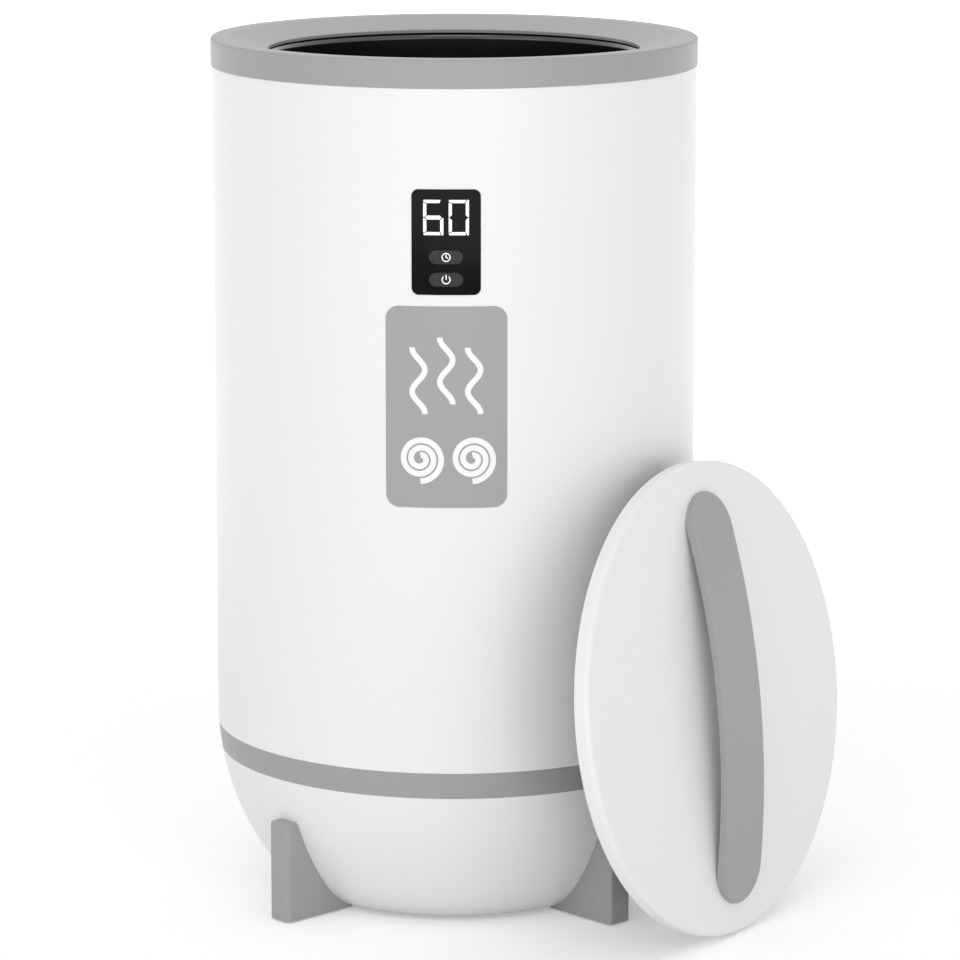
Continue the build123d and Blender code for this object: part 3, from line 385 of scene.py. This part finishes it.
# %% The finishes
finishes = {
    "white_shell": finish_of("white_plastic", (243, 243, 243), 0.36, relief=0.1, depth=0.01),
    "grey_trim": finish_of("grey_plastic", (163, 163, 164), 0.4, relief=0.25),
    "grey_cover": finish_of("grey_cover_plastic", (156, 156, 157), 0.55, relief=0.4),
    "label_grey": finish_of("label_film", (164, 164, 165), 0.45, relief=0.06, depth=0.01),
    "pot_black": finish_of("pot_coating", (20, 20, 21), 0.14, relief=0.05, coat=0.9),
    "display_black": finish_of("display_plastic", (5, 5, 6), 0.06, relief=0.0, spread=0.03, specular=0.06),
    "button_black": finish_of("key_plastic", (25, 25, 26), 0.24, relief=0.1, specular=0.22),
    "lit_white": finish_of("lit_plastic", (248, 248, 248), 0.3, relief=0.0, depth=0.0, glow=0.22),
    "screw_steel": finish_of("plated_steel", (178, 178, 182), 0.22, spread=0.1, metallic=1.0, relief=0.1,
                             surface=drawn),
    "sheet_steel": finish_of("sheet_steel", (170, 172, 175), 0.3, spread=0.2, metallic=1.0, relief=0.3,
                             surface=drawn),
    "plate_aluminium": finish_of("cast_aluminium", (196, 198, 200), 0.42, metallic=1.0, relief=0.5),
    # on the tangled surfaces the cloud depth sets how much darker the low gaps are painted, as shade
    "belt_silicone": finish_of("orange_silicone", (196, 92, 40), 0.6, relief=0.3, surface=tangle),
    "wrap_fibre": finish_of("felted_fibre", (230, 226, 214), 0.9, cloud=60.0, grain_size=700.0, relief=1.0,
                            depth=0.2, surface=tangle),
    "board_green": finish_of("solder_resist", (20, 92, 48), 0.25, relief=0.1),
    "component_black": finish_of("component_plastic", (34, 34, 36), 0.5, relief=0.3),
    "core_metal": finish_of("core_sheets", (110, 104, 98), 0.3, spread=0.2, metallic=0.8, relief=0.6,
                            surface=drawn),
    "socket_white": finish_of("ivory_plastic", (232, 228, 214), 0.45, relief=0.2),
    "lead_jacket": finish_of("lead_sleeve", (214, 214, 212), 0.6, relief=0.3, surface=tangle),
    "soft_rubber": finish_of("black_rubber", (34, 34, 34), 0.75, relief=0.5, depth=0.15, surface=tangle),
    "frame_plastic": finish_of("frame_plastic", (40, 40, 40), 0.55, relief=0.3),
}
slot_of = {part["node"]: part["material_slot"] for part in frame["record"]["subparts"]}
for name, obj in nodes.items():
    obj.data.materials.clear()
    obj.data.materials.append(finishes[slot_of[name]])
print(len(finishes), "finishes on", len(nodes), "nodes")

# %% [markdown]
# ## Pieces made by Geometry Nodes
# A tree gets its sizes through named inputs. The helper below finds each input's identifier, sets it
# before the modifier runs for the first time, and then keeps only the plain mesh that comes out.


# %% Helpers for Geometry Nodes
def new_tree(name, *inputs):
    """Tree with one geometry and named sizes going in, and one geometry coming out."""
    group = bpy.data.node_groups.new(name, "GeometryNodeTree")
    socket(group, "Geometry", "NodeSocketGeometry", "INPUT")
    for entry, kind, *usual in inputs:
        socket(group, entry, "NodeSocket" + kind, "INPUT", *usual)
    socket(group, "Finish", "NodeSocketMaterial", "INPUT")
    socket(group, "Geometry", "NodeSocketGeometry", "OUTPUT")
    given = group.nodes.new("NodeGroupInput")
    return group, group.nodes, group.links.new, given.outputs


def end_tree(group, given, geometry):
    """Make instances real, set the finish and hand the geometry out."""
    n, link = group.nodes, group.links.new
    real, dress = n.new("GeometryNodeRealizeInstances"), n.new("GeometryNodeSetMaterial")
    result = n.new("NodeGroupOutput")
    link(geometry, real.inputs["Geometry"])
    link(real.outputs["Geometry"], dress.inputs["Geometry"])
    link(given["Finish"], dress.inputs["Material"])
    link(dress.outputs["Geometry"], result.inputs["Geometry"])
    print("tree", group.name, "with", len(n), "nodes")
    return group


def grown(name, group, start_mesh, values):
    """Plain object that a tree makes from a start mesh."""
    start = bpy.data.objects.new(name + "_start", start_mesh)
    bpy.context.scene.collection.objects.link(start)
    modifier = start.modifiers.new("tree", "NODES")
    modifier.node_group = group
    for item in group.interface.items_tree:
        if item.item_type == "SOCKET" and item.in_out == "INPUT" and item.name in values:
            modifier[item.identifier] = values[item.name]
    depsgraph = bpy.context.evaluated_depsgraph_get()
    mesh = bpy.data.meshes.new_from_object(start.evaluated_get(depsgraph))
    mesh.name = name
    bpy.data.objects.remove(start)
    made = bpy.data.objects.new(name, mesh)
    bpy.context.scene.collection.objects.link(made)
    return made


# %% [markdown]
# What a tree puts out still has double points where its parts meet. The next helper welds them, points
# every face outwards, and counts edges that are left open, which should be none.


# %% Helpers for plain meshes
weld_distance = 1e-6


def closed_up(obj, smooth=True):
    """Weld doubles, point every face outwards and shade it."""
    work = bmesh.new()
    work.from_mesh(obj.data)
    bmesh.ops.remove_doubles(work, verts=work.verts, dist=weld_distance)
    bmesh.ops.dissolve_degenerate(work, edges=work.edges, dist=weld_distance / 10)
    bmesh.ops.recalc_face_normals(work, faces=work.faces)
    for face in work.faces:
        face.smooth = smooth
    open_edges = sum(1 for edge in work.edges if not edge.is_manifold)
    work.to_mesh(obj.data)
    work.free()
    obj.data.update()
    print(obj.name, len(obj.data.polygons), "faces,", open_edges, "open edges")
    return obj


def hand_over(obj, body, slot, *replaced):
    """Put a piece on the empty of the body that carries it and hide the pieces it stands for. The slot is
    not used.
    """
    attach(obj, body)
    if replaced:
        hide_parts(*replaced)
    print(obj.name, "rides on", body, "with", len(obj.data.polygons), "faces")


def profile_mesh(name, corners):
    """Chain of corners in the half plane of radius and height, each with its rounding."""
    mesh = bpy.data.meshes.new(name)
    points = [(radius, 0, z) for radius, z, _ in corners]
    mesh.from_pydata(points, [(i, i + 1) for i in range(len(points) - 1)], [])
    rounding = mesh.attributes.new("rounding", "FLOAT", "POINT")
    for index, corner in enumerate(corners):
        rounding.data[index].value = corner[2]
    return mesh


# %% [markdown]
# The pot, and the head and shank of a screw, are turned shapes: one outline goes round an axis. The tree
# rounds the outline's corners by a number stored on each, lays out a flat grid with one column for each
# point of the outline, and bends that grid round the axis. Merging by distance closes the seam and the
# poles. A spin in mesh code would do as well, but this way the roundness stays one number.


# %% Tree for a turned piece
nudge = 0.0001            # keeps a whole number from being rounded down to the one before


def turned_tree():
    group, n, link, given = new_tree("turned_piece", ("Steps round", "Int", 96),
                                     ("Steps in a rounding", "Int", 8))
    outline = n.new("GeometryNodeMeshToCurve")
    link(given["Geometry"], outline.inputs["Mesh"])
    rounding = n.new("GeometryNodeInputNamedAttribute")
    rounding.data_type = "FLOAT"
    rounding.inputs["Name"].default_value = "rounding"
    rounded = n.new("GeometryNodeFilletCurve")
    rounded.mode = "POLY"
    rounded.inputs["Limit Radius"].default_value = True
    link(outline.outputs["Curve"], rounded.inputs["Curve"])
    link(rounding.outputs["Attribute"], rounded.inputs["Radius"])
    link(given["Steps in a rounding"], rounded.inputs["Count"])
    points = n.new("GeometryNodeCurveToPoints")
    points.mode = "EVALUATED"
    link(rounded.outputs["Curve"], points.inputs["Curve"])
    count = n.new("GeometryNodeAttributeDomainSize")
    count.component = "POINTCLOUD"
    link(points.outputs["Points"], count.inputs[0])
    # one column of the grid for each point of the outline, one row for each step round
    rows = math_node(n, link, "ADD", given["Steps round"], 1.0)
    sheet = n.new("GeometryNodeMeshGrid")
    link(count.outputs["Point Count"], sheet.inputs["Vertices X"])
    link(rows, sheet.inputs["Vertices Y"])
    index = n.new("GeometryNodeInputIndex").outputs["Index"]
    nudged = math_node(n, link, "ADD", math_node(n, link, "DIVIDE", index, rows), nudge)
    column = math_node(n, link, "FLOOR", nudged)
    row = math_node(n, link, "SUBTRACT", index, math_node(n, link, "MULTIPLY", column, rows))
    share = math_node(n, link, "DIVIDE", row, given["Steps round"])
    angle = math_node(n, link, "MULTIPLY", share, math.tau)
    sample = n.new("GeometryNodeSampleIndex")
    sample.data_type = "FLOAT_VECTOR"
    link(points.outputs["Points"], sample.inputs["Geometry"])
    link(n.new("GeometryNodeInputPosition").outputs["Position"], sample.inputs["Value"])
    link(column, sample.inputs["Index"])
    apart = n.new("ShaderNodeSeparateXYZ")
    link(sample.outputs["Value"], apart.inputs[0])
    radius, height = apart.outputs["X"], apart.outputs["Z"]
    x = math_node(n, link, "MULTIPLY", radius, math_node(n, link, "COSINE", angle))
    y = math_node(n, link, "MULTIPLY", radius, math_node(n, link, "SINE", angle))
    bend = n.new("GeometryNodeSetPosition")
    link(sheet.outputs["Mesh"], bend.inputs["Geometry"])
    link(vector_node(n, link, x, y, height), bend.inputs["Position"])
    weld = n.new("GeometryNodeMergeByDistance")
    weld.inputs["Distance"].default_value = weld_distance
    link(bend.outputs["Geometry"], weld.inputs["Geometry"])
    return end_tree(group, given, weld.outputs["Geometry"])


turned_piece = turned_tree()

# %% [markdown]
# The pot is one thin shell: up the outside, out to its flange, back over the bead and down the inside.
# The bead, where the wall turns out into the flange, is what catches the light under the rim.

# %% Inner pot
pot_wall = 1.2 * mm
pot_corner = 8.0 * mm
pot_bead = 4.0 * mm
flange_width = 8.4 * mm
flange_thickness = 2.0 * mm
under_bead = 1.2 * mm
flange_edge = 0.2 * mm
stud_length = 10.0 * mm
round_steps = 240
pot_inside = pot_high.x - flange_width
pot_outside = pot_inside + pot_wall
floor_inside = pot_low.z + stud_length + pot_wall
floor_outside = floor_inside - pot_wall
flange_under = pot_high.z - flange_thickness
pot = closed_up(grown("inner_pot", turned_piece, profile_mesh("pot_profile", [
    (0, floor_outside, 0),
    (pot_outside, floor_outside, pot_corner + pot_wall),
    (pot_outside, flange_under, under_bead),
    (pot_high.x, flange_under, flange_edge),
    (pot_high.x, pot_high.z, flange_edge),
    (pot_inside, pot_high.z, pot_bead),
    (pot_inside, floor_inside, pot_corner),
    (0, floor_inside, 0),
]), {"Steps round": round_steps, "Steps in a rounding": 10, "Finish": finishes["pot_black"]}))

# %% [markdown]
# Studs, screws and pads repeat. Each is made once, and a second tree puts a copy on every spot, turned by
# an angle stored on that spot. The export drops instances, so the tree makes them real.


# %% Tree for copies on spots
def copies_tree():
    group, n, link, given = new_tree("copies_on_spots", ("Piece", "Object"))
    piece = n.new("GeometryNodeObjectInfo")
    link(given["Piece"], piece.inputs["Object"])
    turn = n.new("GeometryNodeInputNamedAttribute")
    turn.data_type = "FLOAT_VECTOR"
    turn.inputs["Name"].default_value = "turn"
    spots = n.new("GeometryNodeInstanceOnPoints")
    link(given["Geometry"], spots.inputs["Points"])
    link(piece.outputs["Geometry"], spots.inputs["Instance"])
    link(turn.outputs["Attribute"], spots.inputs["Rotation"])
    return end_tree(group, given, spots.outputs["Instances"])


copies_on_spots = copies_tree()


def copies(name, one, places, turn, finish):
    """One mesh with a copy of a piece on each spot; the single piece isn't kept.

    The turn is one for all spots, or a list with one for each.
    """
    spots = bpy.data.meshes.new(name + "_spots")
    spots.from_pydata([tuple(place) for place in places], [], [])
    stored = spots.attributes.new("turn", "FLOAT_VECTOR", "POINT")
    turns = turn if isinstance(turn, list) else [turn] * len(places)
    for index, value in enumerate(turns):
        stored.data[index].vector = tuple(value)
    made = grown(name, copies_on_spots, spots, {"Piece": one, "Finish": finish})
    bpy.data.objects.remove(one)
    return made


# %% [markdown]
# Four welded studs under the pot's floor carry the heating plate. They and the pot are one welded piece
# on the real bucket too, so they are joined to its mesh.

# %% The pot's studs
stud_radius = 2.0 * mm
stud_tip = 0.5 * mm
stud_set_in = 16.0 * mm
stud_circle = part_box("heating_plate")[1].x - stud_set_in
stud_top = floor_inside - pot_wall / 2
stud = closed_up(grown("stud", turned_piece, profile_mesh("stud_profile", [
    (0, pot_low.z, 0),
    (stud_radius, pot_low.z, stud_tip),
    (stud_radius, stud_top, 0),
    (0, stud_top, 0),
]), {"Steps round": 24, "Steps in a rounding": 3}))
stud_places = [(0, -stud_circle, 0), (stud_circle, 0, 0), (0, stud_circle, 0), (-stud_circle, 0, 0)]
studs = copies("studs", stud, stud_places, (0, 0, 0), finishes["pot_black"])
work = bmesh.new()
work.from_mesh(pot.data)
work.from_mesh(studs.data)
work.to_mesh(pot.data)
work.free()
bpy.data.objects.remove(studs)
hand_over(pot, "bucket", "pot_black", "liner_pot")

# %% [markdown]
# The screws show from below and on the back of the lid. Each is a flat pan head with a cross recess. The
# head and shank are turned, and a Boolean node takes the cross out of the head, which leaves the sharp
# edges that a pressed recess has. One bar of the cross is a little less deep, so that the two bars never
# share a face.


# %% Tree for a cross recess
def recess_tree():
    group, n, link, given = new_tree("cross_recess", ("Width", "Float", 0.7 * mm),
                                     ("Reach", "Float", 3.4 * mm), ("Depth", "Float", 0.6 * mm))
    height = math_node(n, link, "MULTIPLY", given["Depth"], 2.0)
    cut = n.new("GeometryNodeMeshBoolean")
    cut.operation = "DIFFERENCE"
    link(given["Geometry"], cut.inputs["Mesh 1"])
    for along, across, share in (("x", "y", 1.0), ("y", "x", 0.9)):
        size = {along: given["Reach"], across: given["Width"],
                "z": math_node(n, link, "MULTIPLY", height, share)}
        bar = n.new("GeometryNodeMeshCube")
        link(vector_node(n, link, **size), bar.inputs["Size"])
        link(bar.outputs["Mesh"], cut.inputs["Mesh 2"])
    return end_tree(group, given, cut.outputs["Mesh"])


cross_recess = recess_tree()

# %% One screw
screw_head_radius = 3.0 * mm
screw_radius = 1.5 * mm
screw_tip = 0.5 * mm
head_height = 1.4 * mm
head_round = 0.4 * head_height
head_under = 0.1 * mm
recess_width, recess_reach, recess_depth = 0.7 * mm, 3.4 * mm, 0.6 * mm


def pan_screw(name, shank):
    """One screw with its head's outer face at the origin and its head towards +Z."""
    end = -head_height - shank
    turned = closed_up(grown(name + "_turned", turned_piece, profile_mesh(name + "_profile", [
        (0, 0, 0),
        (screw_head_radius, 0, head_round),
        (screw_head_radius, -head_height, head_under),
        (screw_radius, -head_height, 0),
        (screw_radius, end, screw_tip),
        (0, end, 0),
    ]), {"Steps round": 40, "Steps in a rounding": 4}))
    cut = grown(name, cross_recess, turned.data, {
        "Width": recess_width, "Reach": recess_reach, "Depth": recess_depth,
        "Finish": finishes["screw_steel"]})
    bpy.data.objects.remove(turned)
    return closed_up(cut, smooth=False)


# %% [markdown]
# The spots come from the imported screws: a welded copy of their mesh falls apart into one loose part for
# each screw, and the middle of a part, half a screw's length from its head, gives the spot.


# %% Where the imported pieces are
def loose_parts(node):
    """Middle of each loose part of a CAD node, from a welded copy of its mesh."""
    work = bmesh.new()
    work.from_mesh(nodes[node].data)
    bmesh.ops.remove_doubles(work, verts=work.verts, dist=weld_distance)
    left, middles = set(work.verts), []
    while left:
        part = [left.pop()]
        for vert in part:
            for edge in vert.link_edges:
                other = edge.other_vert(vert)
                if other in left:
                    left.discard(other)
                    part.append(other)
        low = Vector([min(vert.co[axis] for vert in part) for axis in range(3)])
        high = Vector([max(vert.co[axis] for vert in part) for axis in range(3)])
        middles.append((low + high) / 2)
    work.free()
    print(node, "has", len(middles), "loose parts")
    return sorted(middles, key=lambda place: tuple(round(value, 5) for value in place))


def screws_like(name, node, body, shank, outwards, turn):
    """Screws in the places of a node's, their heads facing outwards."""
    to_head = outwards * (head_height + shank) / 2
    places = [middle + to_head for middle in loose_parts(node)]
    made = copies(name + "s", pan_screw(name, shank), places, turn, finishes["screw_steel"])
    hand_over(made, body, "screw_steel", node)


# %% Screws of the bottom cover
cover_shank = 9.0 * mm
screws_like("bottom_screw", "cover_screws", "bucket", cover_shank, Vector((0, 0, -1)), (math.pi, 0, 0))

# %% Screws of the lid
lid_tilt, lid_turn = math.radians(7.9), math.radians(57.6)
lid_out = Vector((math.sin(lid_turn) * math.cos(lid_tilt), -math.cos(lid_turn) * math.cos(lid_tilt),
                  math.sin(lid_tilt)))
lid_shank = 7.0 * mm
screws_like("lid_back_screw", "lid_screws", "lid", lid_shank, -lid_out,
            (-lid_out).to_track_quat("Z", "Y").to_euler())

# %% [markdown]
# Each fin stands on a rubber pad. A pad like this is moulded with ribs across its sole, so that it grips
# and drains. The tree rounds a rectangle, fills and extrudes it, and repeats a thin rib along its length.


# %% A slab for the pad and its ribs
corner_steps = 4


def slab(n, link, length, width, corner, thickness):
    """Rounded rectangle with a thickness, closed all round, standing on its own plane."""
    outline = n.new("GeometryNodeCurvePrimitiveQuadrilateral")
    link(length, outline.inputs["Width"])
    link(width, outline.inputs["Height"])
    rounded = n.new("GeometryNodeFilletCurve")
    rounded.mode = "POLY"
    rounded.inputs["Count"].default_value = corner_steps
    rounded.inputs["Limit Radius"].default_value = True
    link(outline.outputs["Curve"], rounded.inputs["Curve"])
    link(corner, rounded.inputs["Radius"])
    filled = n.new("GeometryNodeFillCurve")
    filled.mode = "NGONS"
    link(rounded.outputs["Curve"], filled.inputs["Curve"])
    raised = n.new("GeometryNodeExtrudeMesh")
    raised.mode = "FACES"
    raised.inputs["Individual"].default_value = False
    raised.inputs["Offset Scale"].default_value = 1.0
    link(filled.outputs["Mesh"], raised.inputs["Mesh"])
    link(vector_node(n, link, z=thickness), raised.inputs["Offset"])
    under = n.new("GeometryNodeFlipFaces")
    link(filled.outputs["Mesh"], under.inputs["Mesh"])
    both = n.new("GeometryNodeJoinGeometry")
    link(raised.outputs["Mesh"], both.inputs["Geometry"])
    link(under.outputs["Mesh"], both.inputs["Geometry"])
    weld = n.new("GeometryNodeMergeByDistance")
    weld.inputs["Distance"].default_value = weld_distance
    link(both.outputs["Geometry"], weld.inputs["Geometry"])
    return weld.outputs["Geometry"]


# %% Tree for a ribbed pad
rib_share = 0.5           # of a rib in the step from one rib to the next
rib_width_share = 0.84    # of a rib's width in the pad's
rib_corner_share = 0.4    # of a rib's corner in its length
rib_overlap = 1.25        # how far a rib reaches up into the pad, of its height


def pad_tree():
    group, n, link, given = new_tree(
        "ribbed_pad", ("Length", "Float", 32.0 * mm), ("Width", "Float", 12.4 * mm),
        ("Corner", "Float", 2.0 * mm), ("Height", "Float", 2.6 * mm), ("Rib height", "Float", 0.8 * mm),
        ("Ribs", "Int", 9))
    body_height = math_node(n, link, "SUBTRACT", given["Height"], given["Rib height"])
    raised_body = n.new("GeometryNodeTransform")
    link(slab(n, link, given["Length"], given["Width"], given["Corner"], body_height),
         raised_body.inputs["Geometry"])
    link(vector_node(n, link, z=given["Rib height"]), raised_body.inputs["Translation"])
    step = math_node(n, link, "DIVIDE", given["Length"], given["Ribs"])
    rib_length = math_node(n, link, "MULTIPLY", step, rib_share)
    rib = slab(n, link, rib_length, math_node(n, link, "MULTIPLY", given["Width"], rib_width_share),
               math_node(n, link, "MULTIPLY", rib_length, rib_corner_share),
               math_node(n, link, "MULTIPLY", given["Rib height"], rib_overlap))
    span = math_node(n, link, "SUBTRACT", given["Length"], step)
    line = n.new("GeometryNodeMeshLine")
    line.mode = "OFFSET"
    link(given["Ribs"], line.inputs["Count"])
    link(vector_node(n, link, math_node(n, link, "MULTIPLY", span, -0.5)), line.inputs["Start Location"])
    link(vector_node(n, link, step), line.inputs["Offset"])
    ribs = n.new("GeometryNodeInstanceOnPoints")
    link(line.outputs["Mesh"], ribs.inputs["Points"])
    link(rib, ribs.inputs["Instance"])
    together = n.new("GeometryNodeJoinGeometry")
    link(raised_body.outputs["Geometry"], together.inputs["Geometry"])
    link(ribs.outputs["Instances"], together.inputs["Geometry"])
    return end_tree(group, given, together.outputs["Geometry"])


ribbed_pad = pad_tree()


# %% Foot pads
pad_length, pad_width, pad_corner, pad_height = 32.0 * mm, 12.4 * mm, 2.0 * mm, 2.6 * mm


def dot_mesh(name):
    """One point, for a tree that needs nothing to start from."""
    mesh = bpy.data.meshes.new(name)
    mesh.from_pydata([(0, 0, 0)], [], [])
    return mesh


pad_places = [Vector((place.x, place.y, 0)) for place in loose_parts("foot_pads")]
pad_turns = [(0, 0, math.atan2(place.y, place.x)) for place in pad_places]
one_pad = closed_up(grown("one_pad", ribbed_pad, dot_mesh("pad_start"), {
    "Length": pad_length, "Width": pad_width, "Corner": pad_corner, "Height": pad_height}), smooth=False)
pads = copies("sole_pads", one_pad, pad_places, pad_turns, finishes["soft_rubber"])
hand_over(pads, "bucket", "soft_rubber", "foot_pads")

# %% [markdown]
# The film under the display carries a printed picture of its use: two rolled towels with steam rising.
# Each stroke follows a path, a spiral or a wave, so the tree sweeps a flat ribbon along it. Everything is
# drawn flat and then wrapped on the round body by turning the sideways distance into an angle.

# %% Tree for the printed picture
roll_turns = 2.5
points_in_turn = 40
roll_heart = 2.2 * mm                 # radius where the spiral starts
roll_places = ((-15.5 * mm, -31.0 * mm), (15.5 * mm, -31.0 * mm))
steam_half = 20.0 * mm                # half a steam line's height
steam_pitch = 26.0 * mm               # height of one whole wave
steam_swing = 3.8 * mm
points_in_steam = 48
steam_places = ((-16.5 * mm, 16.0 * mm), (0.0, 22.0 * mm), (16.5 * mm, 16.0 * mm))


def picture_tree():
    group, n, link, given = new_tree(
        "towels_and_steam", ("Wrap radius", "Float", 150 * mm), ("Height of the middle", "Float", 360 * mm),
        ("Roll radius", "Float", 13.5 * mm), ("Stroke", "Float", 3.4 * mm),
        ("Print thickness", "Float", 0.12 * mm))
    strokes = n.new("GeometryNodeJoinGeometry")

    def placed(geometry, places, turn=0.0):
        for x, y in places:
            move = n.new("GeometryNodeTransform")
            move.inputs["Translation"].default_value = (x, y, 0)
            move.inputs["Rotation"].default_value = (0, 0, turn)
            link(geometry, move.inputs["Geometry"])
            link(move.outputs["Geometry"], strokes.inputs["Geometry"])

    roll = n.new("GeometryNodeCurveSpiral")
    roll.inputs["Resolution"].default_value = points_in_turn
    roll.inputs["Rotations"].default_value = roll_turns
    roll.inputs["Start Radius"].default_value = roll_heart
    roll.inputs["Height"].default_value = 0.0
    link(given["Roll radius"], roll.inputs["End Radius"])
    placed(roll.outputs["Curve"], roll_places, math.radians(90))
    line = n.new("GeometryNodeCurvePrimitiveLine")
    line.inputs["Start"].default_value = (0, -steam_half, 0)
    line.inputs["End"].default_value = (0, steam_half, 0)
    fine = n.new("GeometryNodeResampleCurve")
    fine.inputs["Count"].default_value = points_in_steam
    link(line.outputs["Curve"], fine.inputs["Curve"])
    place = n.new("ShaderNodeSeparateXYZ")
    link(n.new("GeometryNodeInputPosition").outputs["Position"], place.inputs[0])
    phase = math_node(n, link, "MULTIPLY", place.outputs["Y"], math.tau / steam_pitch)
    aside = math_node(n, link, "MULTIPLY", math_node(n, link, "SINE", phase), steam_swing)
    wave = n.new("GeometryNodeSetPosition")
    link(fine.outputs["Curve"], wave.inputs["Geometry"])
    link(vector_node(n, link, aside), wave.inputs["Offset"])
    placed(wave.outputs["Geometry"], steam_places)
    # a flat ribbon goes along every stroke
    ribbon = n.new("GeometryNodeCurvePrimitiveQuadrilateral")
    link(given["Stroke"], ribbon.inputs["Width"])
    link(given["Print thickness"], ribbon.inputs["Height"])
    level = n.new("GeometryNodeSetCurveNormal")
    level.mode = "Z_UP"
    link(strokes.outputs["Geometry"], level.inputs["Curve"])
    swept = n.new("GeometryNodeCurveToMesh")
    swept.inputs["Fill Caps"].default_value = True
    link(level.outputs["Curve"], swept.inputs["Curve"])
    link(ribbon.outputs["Curve"], swept.inputs["Profile Curve"])
    # and the flat drawing is wrapped round the body
    flat = n.new("ShaderNodeSeparateXYZ")
    link(n.new("GeometryNodeInputPosition").outputs["Position"], flat.inputs[0])
    angle = math_node(n, link, "DIVIDE", flat.outputs["X"], given["Wrap radius"])
    reach = math_node(n, link, "ADD", given["Wrap radius"], flat.outputs["Z"])
    x = math_node(n, link, "MULTIPLY", reach, math_node(n, link, "SINE", angle))
    forwards = math_node(n, link, "MULTIPLY", reach, math_node(n, link, "COSINE", angle))
    y = math_node(n, link, "MULTIPLY", forwards, -1.0)
    z = math_node(n, link, "ADD", flat.outputs["Y"], given["Height of the middle"])
    wrapped = n.new("GeometryNodeSetPosition")
    link(swept.outputs["Mesh"], wrapped.inputs["Geometry"])
    link(vector_node(n, link, x, y, z), wrapped.inputs["Position"])
    return end_tree(group, given, wrapped.outputs["Geometry"])


towels_and_steam = picture_tree()

# %% Printed picture on the film
finishes["print_white"] = finish_of("print_ink", (250, 250, 250), 0.5, relief=0.05, depth=0.01)
print_lift = 0.05 * mm                # middle of the print in front of the film
film_radius = -label_low.y
picture = closed_up(grown("label_picture", towels_and_steam, dot_mesh("picture_start"), {
    "Wrap radius": film_radius + print_lift, "Height of the middle": label_centre,
    "Finish": finishes["print_white"]}), smooth=False)
hand_over(picture, "bucket", "white_shell")

# %% [markdown]
# The colours are meant as they are written, so the view is the plain one.

# %% The plain view
bpy.context.scene.view_settings.view_transform = "Standard"
